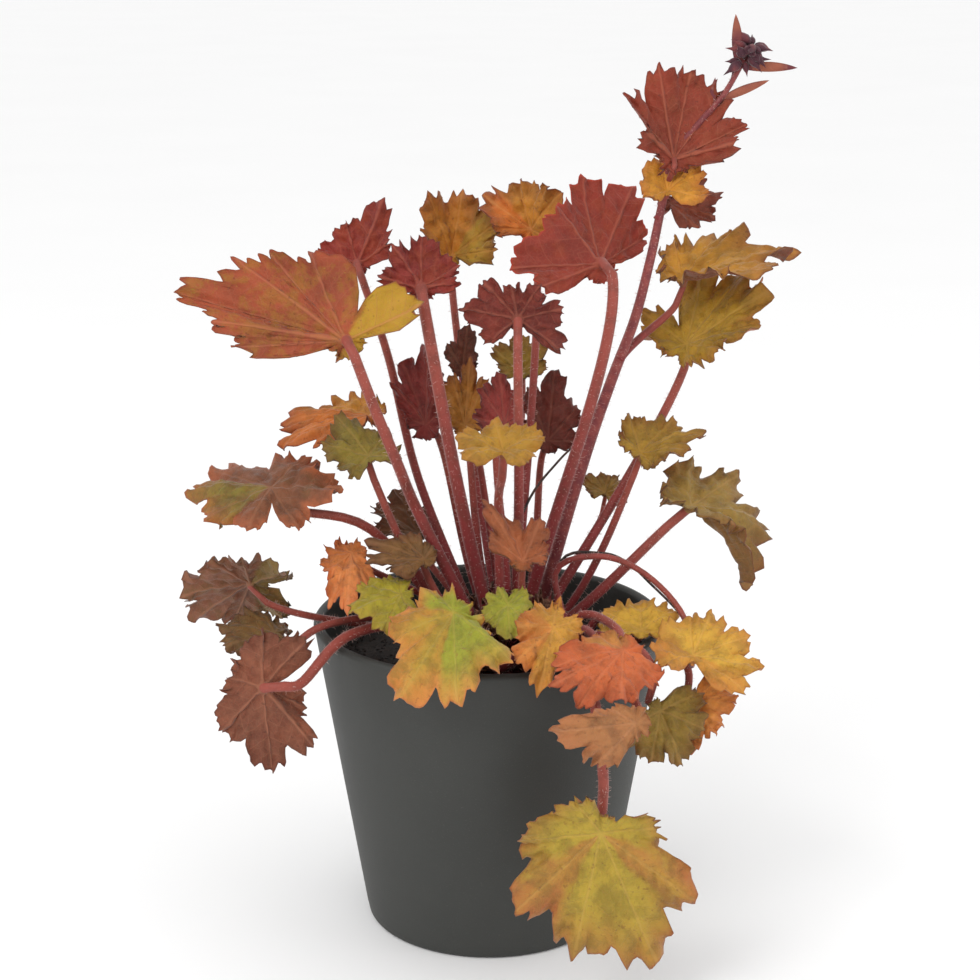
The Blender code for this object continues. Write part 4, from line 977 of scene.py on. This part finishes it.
# The blades' own tones: the upper face, its second tone, the under face and the rim, with the lobes
# that have the second tone all over
LOOKS = {
    "upper_left_red": ((192, 158, 45), (190, 158, 44), (168, 82, 58), (135, 58, 42), (6,)),
    "upper_mid_red": ((140, 50, 40), (190, 85, 45), (140, 48, 42), (90, 30, 30), ()),
    "tall_pink_stalk": ((140, 50, 40), (180, 85, 45), (138, 44, 42), (85, 30, 28), ()),
    "top_mustard": ((178, 118, 30), (160, 138, 42), (170, 110, 50), (110, 50, 35), (0, 1)),
    "top_orange": ((190, 130, 40), (205, 110, 50), (125, 42, 34), (95, 35, 30), (3, 4)),
    "big_red_funnel": ((160, 70, 45), (178, 80, 45), (150, 56, 46), (185, 60, 45), ()),
    "right_olive": ((172, 140, 38), (150, 130, 40), (200, 115, 75), (130, 80, 35), ()),
    "right_small_olive": ((160, 128, 38), (145, 95, 45), (150, 95, 60), (105, 55, 35), ()),
    "right_drooping": ((150, 125, 60), (130, 105, 45), (150, 115, 70), (110, 65, 40), ()),
    "back_small_olive": ((135, 110, 45), (120, 75, 45), (120, 85, 50), (90, 50, 35), ()),
    "mid_red_right": ((118, 46, 36), (150, 60, 40), (120, 44, 38), (75, 28, 26), ()),
    "mid_red_left": ((122, 40, 40), (150, 55, 45), (120, 42, 38), (85, 28, 30), ()),
    "inner_brown": ((95, 50, 34), (130, 80, 45), (95, 48, 36), (60, 28, 24), ()),
    "inner_mustard": ((165, 112, 35), (150, 80, 40), (130, 70, 40), (110, 50, 30), ()),
    "inner_red": ((130, 42, 40), (110, 38, 36), (120, 40, 38), (80, 28, 26), ()),
    "inner_olive": ((150, 130, 50), (110, 70, 45), (110, 80, 45), (90, 50, 35), ()),
    "right_dark_red": ((105, 45, 36), (140, 90, 50), (105, 45, 38), (70, 28, 24), ()),
    "centre_yellow": ((176, 136, 40), (185, 120, 45), (150, 85, 50), (150, 100, 40), ()),
    "low_centre_brown": ((160, 90, 55), (170, 130, 55), (150, 85, 55), (110, 55, 40), ()),
    "left_orange": ((205, 120, 45), (200, 155, 50), (170, 85, 55), (120, 50, 35), (0, 1)),
    "left_olive": ((128, 115, 35), (110, 75, 45), (125, 85, 50), (85, 50, 35), ()),
    "left_long": ((118, 72, 48), (124, 118, 36), (135, 85, 62), (165, 90, 60), (4, 5)),
    "left_dark": ((98, 70, 42), (120, 85, 45), (100, 60, 45), (70, 40, 30), ()),
    "left_low_brown": ((122, 88, 48), (140, 120, 50), (115, 70, 48), (80, 40, 32), ()),
    "left_salmon": ((226, 142, 88), (215, 120, 75), (205, 120, 90), (180, 90, 60), ()),
    "left_brown_flat": ((134, 84, 66), (120, 105, 55), (135, 90, 75), (95, 60, 45), (0, 6)),
    "left_brown_small": ((118, 92, 54), (130, 80, 60), (120, 80, 62), (80, 50, 38), ()),
    "left_drooping": ((142, 78, 60), (122, 62, 50), (140, 85, 70), (88, 45, 38), ()),
    "front_yellow_left": ((166, 158, 42), (150, 150, 45), (170, 130, 70), (140, 110, 50), ()),
    "front_green": ((152, 160, 46), (190, 140, 58), (180, 130, 80), (205, 125, 80), (1, 2)),
    "front_small_green": ((160, 166, 54), (185, 165, 60), (160, 130, 70), (150, 130, 60), ()),
    "front_right_yellow": ((204, 152, 60), (208, 120, 60), (190, 120, 75), (170, 100, 55), (1, 2)),
    "right_yellow": ((208, 168, 62), (190, 140, 60), (190, 130, 80), (165, 110, 60), ()),
    "right_wide": ((214, 172, 70), (205, 140, 60), (205, 140, 85), (170, 110, 60), (0, 5)),
    "front_orange": ((200, 104, 60), (186, 142, 76), (195, 115, 75), (150, 70, 45), (0,)),
    "front_pale": ((168, 116, 80), (150, 112, 56), (165, 114, 80), (160, 100, 70), ()),
    "right_olive_low": ((142, 118, 42), (160, 110, 50), (150, 110, 60), (100, 65, 40), ()),
    "right_orange_low": ((218, 148, 78), (205, 115, 60), (205, 130, 85), (160, 85, 55), ()),
    "hanging": ((176, 156, 58), (178, 116, 64), (175, 128, 84), (150, 88, 58), (2, 5)),
    "stem_red": ((160, 74, 44), (150, 80, 45), (150, 62, 45), (105, 40, 35), ()),
    "stem_yellow": ((206, 146, 46), (190, 120, 40), (180, 110, 55), (150, 80, 40), ()),
    "stem_brown": ((125, 55, 32), (150, 75, 40), (120, 55, 38), (80, 35, 28), ()),
    "branch_amber": ((200, 148, 46), (165, 120, 45), (135, 80, 62), (110, 60, 40), ()),
}
VEIN_LIGHT = np.array([222, 160, 128])
UNDER_PATCH = 0.85
DEEPEN = np.array([0.93, 0.89, 0.74])


def blade_skin(name, upper, second, under, rim):
    """Finish of one leaf's blade, matt and finely hairy, with lighter veins on the under face."""
    shade = Shade("blade_" + name, Specular_IOR_Level=0.32, Sheen_Weight=0.12, Sheen_Roughness=0.5,
                  Subsurface_Weight=0.06, Subsurface_Scale=0.004)
    upper, second, under, rim = (DEEPEN * colour for colour in (upper, second, under, rim))
    across = shade.measure("across")
    along = shade.measure("along")
    rim_share = shade.measure("rim")
    lobes = shade.measure("patch")
    below = shade.measure("under").ramp(0.4, 0.6)
    # A noise for the leaf's own mottling and crumpled relief; on the upper face it also darkens patches as
    # painted shade of the crumples.
    mottle_and_painted_shade = shade.noise(120, 5, 0.68, 0.3)
    broad = shade.noise(34, 3, 0.55, 0.7)
    fine = shade.noise(900, 3, 0.6)
    chevron = ((along - across * VEIN_LEAN) / VEIN_SPACING).cycle() - 0.5
    branch = chevron.size().ramp(0.44, 0.5) * across.ramp(0.2, 1.0) * (1 - rim_share.ramp(0.8, 1.0))
    net = shade.cells(430).ramp(0.12, 0.0)
    veins = across.ramp(0.9, 0.2).larger(branch * 0.6).larger(net * 0.3)
    patch = (lobes * 1.2 + broad * 2.4 + mottle_and_painted_shade * 0.9 - 1.95).ramp(0.0, 0.7)
    # The upper face is lighter along each lobe's main vein: partly the leaf's own paler tone there, partly
    # painted light on the fold at the vein.
    face = shade.layered(upper, (patch, second), (across.ramp(6.0, 0.5) * 0.3, (*upper, 1.12)),
                         (rim_share.ramp(0.45, 1.05) * broad * 1.1, (*rim, 1.15)),
                         (mottle_and_painted_shade.ramp(0.42, 0.62) * 0.42, (*upper, 0.6)),
                         (veins * 0.25, 0.6 * upper + 0.4 * VEIN_LIGHT))
    under_patch = (lobes * 1.5 + broad * 1.4 - 1.0).ramp(0.1, 0.7) * UNDER_PATCH
    back = shade.layered(under, (broad.ramp(0.35, 0.65) * 0.7, (*under, 0.74)),
                         (mottle_and_painted_shade.ramp(0.45, 0.62) * 0.35, (*second, 0.85)), (under_patch, second),
                         (veins * 0.35, 0.55 * under + 0.45 * VEIN_LIGHT))
    shade.paint(face, (below, back), ((rim_share + mottle_and_painted_shade * 0.05).ramp(0.965, 1.03) * 0.75, rim),
                (shade.noise(520, 2, 0.5, 5.0).ramp(0.64, 0.72) * 0.4, (*rim, 0.7)),
                (fine.ramp(0.62, 0.85) * 0.12, (235, 205, 170)))
    shade.feed("Roughness", 0.48 + 0.22 * mottle_and_painted_shade + 0.08 * below)
    shade.relief((1 - veins) * (1 - 2 * below) * 0.3 + 0.35 + mottle_and_painted_shade * 0.5 + fine * 0.08, 0.0007)
    return shade.material


stalk_shade = Shade("stalk", Specular_IOR_Level=0.4, Sheen_Weight=0.2, Subsurface_Weight=0.08,
                    Subsurface_Scale=0.003)
stripe = stalk_shade.noise(160, 4, 0.6)
stalk_shade.paint((126, 32, 36), (stalk_shade.measure("height").ramp(0.0, 0.9), (146, 64, 50)),
                  (stripe.ramp(0.42, 0.7) * 0.6, (104, 46, 34)),
                  (stalk_shade.noise(1400, 2, 0.5).ramp(0.6, 0.75) * 0.15, (230, 180, 165)))
stalk_shade.feed("Roughness", 0.42 + 0.25 * stripe)
stalk_shade.relief(stripe, 0.0004)


def lobe_patch(frame, row, theta):
    """How much of the leaf's second colour lies at each point: all over the lobes that have it."""
    chosen = np.zeros(len(frame["angles"]))
    chosen[list(LOOKS[row["name"]][4])] = 1.0
    return np.concatenate([[chosen.mean()], np.tile(round_lobes(frame, theta, chosen), BLADE_RINGS)])


def leaf_piece(prefix, row, root, out, sunk=STALK_SUNK):
    """One leaf's visible piece as a closed skin, and its stalk's middle line and radii."""
    frame = blade_frame(row)
    theta = blade_spokes(frame)
    count = len(theta)
    hub_share = frame["hub"] / (edge_reach(frame, theta) * frame["size"])
    shares = 1 - (1 - np.linspace(0, 1, BLADE_RINGS)) ** 1.15
    rhos = [hub_share + (1 - hub_share) * share for share in shares]
    upper = np.vstack([frame["heart"][None]] + [blade_point(frame, theta, rho) for rho in rhos])
    side_way, out_way = np.hstack([np.zeros((2, 1))] + [vein_place(frame, theta, rho) for rho in rhos])
    edge = np.concatenate([[0], np.repeat(shares, count)])
    rings = 1 + np.arange(BLADE_RINGS * count).reshape(BLADE_RINGS, count)
    after = np.roll(rings, -1, 1)
    bands = np.stack([rings[:-1], rings[1:], after[1:], after[:-1]], 2).reshape(-1, 4)
    flat = np.cross(upper[bands[:, 1]] - upper[bands[:, 3]], upper[bands[:, 2]] - upper[bands[:, 0]])
    normal = np.zeros_like(upper)
    for corner in range(4):
        np.add.at(normal, bands[:, corner], flat)
    normal[0] = frame["up"]
    normal = unit(normal)
    crumple = lumps(upper, 13, row["seed"]) + 0.5 * lumps(upper, 6, row["seed"] + 1)
    upper += normal * (CRUMPLE * crumple * np.clip(out_way / 8, 0, 1))[:, None]
    main_vein = np.exp(-(side_way / 0.75) ** 2) * np.clip(out_way / 4, 0, 1) * (1 - edge ** 3)
    upper -= normal * (VEIN_HOLLOW * main_vein)[:, None]
    thickness = BLADE_THICKNESS * (1 - 0.5 * edge ** 8) + VEIN_RIDGE * main_vein
    under = (upper - normal * thickness[:, None])[1:]
    down = np.arange(len(upper)) + len(upper) - 1
    line = stalk_line(frame, row, root, out, sunk)
    radii = np.linspace(row["stalk"] * STALK_TAPER[0], row["stalk"] * STALK_TAPER[1], len(line))
    tube = tube_rings(line, radii, STALK_SIDES, frame["along"], frame["up"])
    first = len(upper) + len(under)
    top = first + (len(line) - 1) * STALK_SIDES
    joint = stitch(-np.pi + 2 * np.pi * np.arange(STALK_SIDES) / STALK_SIDES,
                   np.arange(top, top + STALK_SIDES), theta, down[rings[0]])
    faces = np.stack([0 * rings[0], rings[0], after[0]], 1).tolist()
    faces += bands.tolist() + down[bands[:, ::-1]].tolist()
    faces += np.stack([rings[-1], down[rings[-1]], down[after[-1]], after[-1]], 1).tolist()
    blade_faces = len(faces)
    faces += tube_faces(first, len(line), STALK_SIDES, close_end=False) + [face[::-1] for face in joint]
    slots = np.zeros(len(faces), int)
    slots[blade_faces:blade_faces + 2 * STALK_SIDES * (len(line) - 1)] = 1
    on_stalk = np.zeros(len(line) * STALK_SIDES)
    values = dict(across=side_way, along=out_way, rim=edge, patch=lobe_patch(frame, row, theta))
    measures = {key: np.concatenate([value, value[1:], on_stalk]) for key, value in values.items()}
    measures["under"] = np.concatenate([np.zeros(len(upper)), np.ones(len(under) + len(on_stalk))])
    height = np.repeat(np.linspace(0, 1, len(line)), STALK_SIDES)
    measures["height"] = np.concatenate([np.ones(first), height])
    skin = blade_skin(row["name"], *LOOKS[row["name"]][:4])
    piece = mesh_object(prefix + row["name"], np.vstack([upper, under, tube.reshape(-1, 3)]), faces,
                        [skin, stalk_shade.material], slots, measures)
    return piece, line, radii


hairy_points = []
hairy_faces = []


def keep_for_hairs(line, radii, start):
    """Keep a plain tube round a stalk's line, for the hairs to be strewn on later."""
    tube = tube_rings(line, radii, 6, np.array(start))
    hairy_faces.extend(tube_faces(len(hairy_points), len(line), 6))
    hairy_points.extend(tube.reshape(-1, 3))


SCAPE_START = (41, 14, 201)
roots = stalk_roots([row["heart"] for row in LEAVES] + [np.array(SCAPE_START, float)])
for row, (root, out) in zip(LEAVES, roots):
    piece, line, radii = leaf_piece("blade_", row, root, out)
    stand_for(piece, row["colour"], "leaf_" + row["name"])
    keep_for_hairs(line[1:-1], radii[1:-1], (0.2, 0.9, 0.3))


# Flower stem
# One flowering stem, thicker and darker than the stalks, with small leaves along it and a tight head
# of purple buds in narrow bracts. It grew as one piece.

SCAPE_LINE = [SCAPE_START, (52, 12, 236), (61, 10, 262), (67, 8, 288), (71, 6, 310), (75, 6, 330),
              (84, 6, 342), (95, 6, 355), (103, 6, 369)]
SCAPE_ROOT_RADIUS = 2.7
SCAPE_TIP_RADIUS = 1.0
SCAPE_LEAVES = [
    leaf("stem_red", (75, 3, 329), RED, 1.2, 51, curl=-15, notch=(0.2, 0.3, 0.05, 0.05, 0.28, 0.1),
         tips=[(61, -8, 344), (53, -6, 357), (68, 2, 369), (82, 8, 367), (97, 6, 359), (106, -2, 345),
               (101, -8, 338)]),
    leaf("stem_yellow", (73, 2, 317), AMBER, 1.2, 52, curl=-25,
         tips=[(89, -10, 314), (87, 2, 328), (81, 10, 332), (70, 9, 331), (63, -7, 315)]),
    leaf("stem_brown", (75, 8, 311), RED, 1.2, 53, curl=-20,
         tips=[(85, -2, 301), (94, 4, 305), (97, 14, 314), (91, 20, 319)]),
    leaf("branch_amber", (82, 25, 276), AMBER, 1.6, 9, curl=(-20, -20, -30, -40, 10, 10),
         tips=[(95, -6, 286), (118, -8, 287), (131, 14, 290), (105, 44, 295), (79, 42, 291),
               (72, 24, 280)]),
]
# Where each of those stalks leaves the stem, in the same order
SCAPE_JOINS = [(73, 6, 318), (71, 6, 312), (70, 6, 306), (56, 11, 246)]

# Bracts at the stem's tip: where each starts and ends, and its half width
BRACTS = [((101, 5.7, 365), (99, 6, 387), 1.9), ((102.5, 6.4, 366), (124, 3, 366), 1.7),
          ((94, 6.3, 353), (113, 4, 361), 1.5), ((90, 5.6, 349), (91.5, 6, 362), 1.1)]
# Buds along the line where the stem ends
BUD_AXIS = [(102, 6, 368), (107, 6, 376)]
SCAPE_SIDES = 14


def plain_tube(line, radii, sides):
    """Points and faces of a closed tube round a line."""
    points = tube_rings(line, radii, sides, np.array([0.0, 1.0, 0.0])).reshape(-1, 3)
    return points, tube_faces(0, len(line), sides)


root, out = roots[-1]
line = np.vstack([root - out * STALK_SUNK, smooth_line([root + out * STALK_START] + SCAPE_LINE, 8)])
radii = np.linspace(SCAPE_ROOT_RADIUS, SCAPE_TIP_RADIUS, len(line))
stem_shade = Shade("flower_stem", Specular_IOR_Level=0.4, Sheen_Weight=0.2)
stem_grain = stem_shade.noise(180, 4, 0.6)
stem_shade.paint((112, 42, 46), (stem_grain.ramp(0.35, 0.7), (142, 66, 60)),
                 (stem_shade.noise(1200, 2, 0.5).ramp(0.58, 0.72) * 0.25, (225, 180, 165)))
stem_shade.feed("Roughness", 0.45 + 0.25 * stem_grain)
stem_shade.relief(stem_grain, 0.0004)
stem = mesh_object("flower_stem_stalk", *plain_tube(line, radii, SCAPE_SIDES), [stem_shade.material])
stand_for(stem, "flower_stem", "flower_stem")
keep_for_hairs(line[1:-4], radii[1:-4], (0.0, 1.0, 0.0))

for row, join in zip(SCAPE_LEAVES, SCAPE_JOINS):
    way = unit(row["heart"] - np.array(join, float))
    piece = leaf_piece("stem_leaf_", row, np.array(join, float) - STALK_START * way, way, 0.5)[0]
    stand_for(piece, "flower_stem")

bract_shade = Shade("bracts", roughness=0.6, Specular_IOR_Level=0.35)
bract_grain = bract_shade.noise(420, 3, 0.6)
bract_shade.paint((150, 84, 62), (bract_shade.noise(70, 2, 0.5).ramp(0.4, 0.65), (104, 44, 50)),
                  (bract_grain.ramp(0.5, 0.75) * 0.4, (176, 116, 92)))
bract_shade.relief(bract_grain, 0.0004)
bud_shade = Shade("buds", roughness=0.6, Specular_IOR_Level=0.35, Sheen_Weight=0.2)
bud_grain = bud_shade.noise(700, 3, 0.6)
bud_shade.paint((66, 24, 38), (bud_shade.noise(120, 2, 0.5).ramp(0.4, 0.65), (112, 46, 48)),
                (bud_grain.ramp(0.55, 0.75) * 0.4, (140, 84, 84)))
bud_shade.relief(bud_grain, 0.0004)


BRACT_ROWS = 13
BRACT_COLUMNS = 7
BRACT_CUP = 0.35
BRACT_THICKNESS = 0.4
BRACT_WIDER = 1.2


def bract(name, start, end, width):
    """A narrow pointed bract from start to end: a thin closed blade, folded along its middle."""
    start = np.array(start, float)
    end = np.array(end, float)
    way = unit(end - start)
    flat = unit(np.cross(way, (0.1, 1.0, 0.2)))
    lift = np.cross(flat, way)
    top = []
    for t in np.linspace(0, 1, BRACT_ROWS):
        wide = width * np.sin(np.pi * (0.1 + 0.9 * t)) ** 0.8
        middle = start + (end - start) * t + lift * 2.0 * t * (1 - t)
        top += [middle + flat * wide * s + lift * BRACT_CUP * wide * s * s
                for s in np.linspace(-1, 1, BRACT_COLUMNS)]
    points, faces = closed_sheet(np.array(top), -lift * BRACT_THICKNESS, BRACT_COLUMNS)
    stand_for(mesh_object(name, points, faces, [bract_shade.material]), "flower_stem")


for number, (start, end, width) in enumerate(BRACTS):
    bract("bract_%d" % number, start, end, width * BRACT_WIDER)

bud_line = smooth_line(BUD_AXIS, 8)
bud_ground = mesh_object("bud_ground", *plain_tube(bud_line, np.full(len(bud_line), 1.3), 8), [])
bud_profile = [(0, 0), (0.14, 0.03), (0.24, 0.22), (0.28, 0.42), (0.20, 0.66), (0.09, 0.86), (0, 1.25)]
bud = mesh_object("bud", *turned(bud_profile, 8), [])
buds = strew("bud_head", bud_ground, bud, bud_shade.material,
             Density=380000.0, Smallest=5.0, Largest=8.0, Lean=0.5, Seed=7)
stand_for(buds, "flower_stem")


# Dry stalks
# Two thin, dark and leafless stalks from earlier in the year still stand in the crown. One arches over
# to the right, and the other rises among the leaf stalks.

DRY_STALKS = [[(26, 2, 128), (31, 2, 159), (48, 0, 163), (59, -4, 160), (69, -10, 152), (78, -15, 144),
               (84, -20, 137)],
              [(10, 8, 132), (10, 14, 160), (18, 20, 182), (30, 24, 197), (38, 28, 204)]]
dry_shade = Shade("dry_stalk", roughness=0.7)
dry_grain = dry_shade.noise(300, 4, 0.6)
dry_shade.paint((38, 26, 24), (dry_grain.ramp(0.35, 0.7), (84, 58, 48)))
dry_shade.relief(dry_grain, 0.0004)
for number, points in enumerate(DRY_STALKS):
    line = smooth_line(points, 6)
    piece = mesh_object("dry_stalk_%d" % number, *plain_tube(line, np.linspace(0.7, 0.45, len(line)), 8),
                        [dry_shade.material])
    stand_for(piece, "crown")


# Hairs
# Fine whitish hairs stand all along the stalks and the flower stem, and catch the light as a halo.
# They are strewn over the plain tubes that were kept along the leaf stalks and the stem.

hair_shade = Shade("hair", roughness=0.5)
hair_shade.paint((232, 205, 195), (hair_shade.noise(60), (214, 170, 160)))
hair_ground = mesh_object("hair_ground", np.array(hairy_points), hairy_faces, [])
hair = mesh_object("hair", *turned([(0, 0), (0.045, 0.02), (0.03, 0.6), (0, 1.0)], 3), [])
hairs = strew("stalk_hairs", hair_ground, hair, hair_shade.material,
              Density=260000.0, Smallest=0.9, Largest=2.0, Lean=0.5, Seed=5)
stand_for(hairs, "flower_stem")
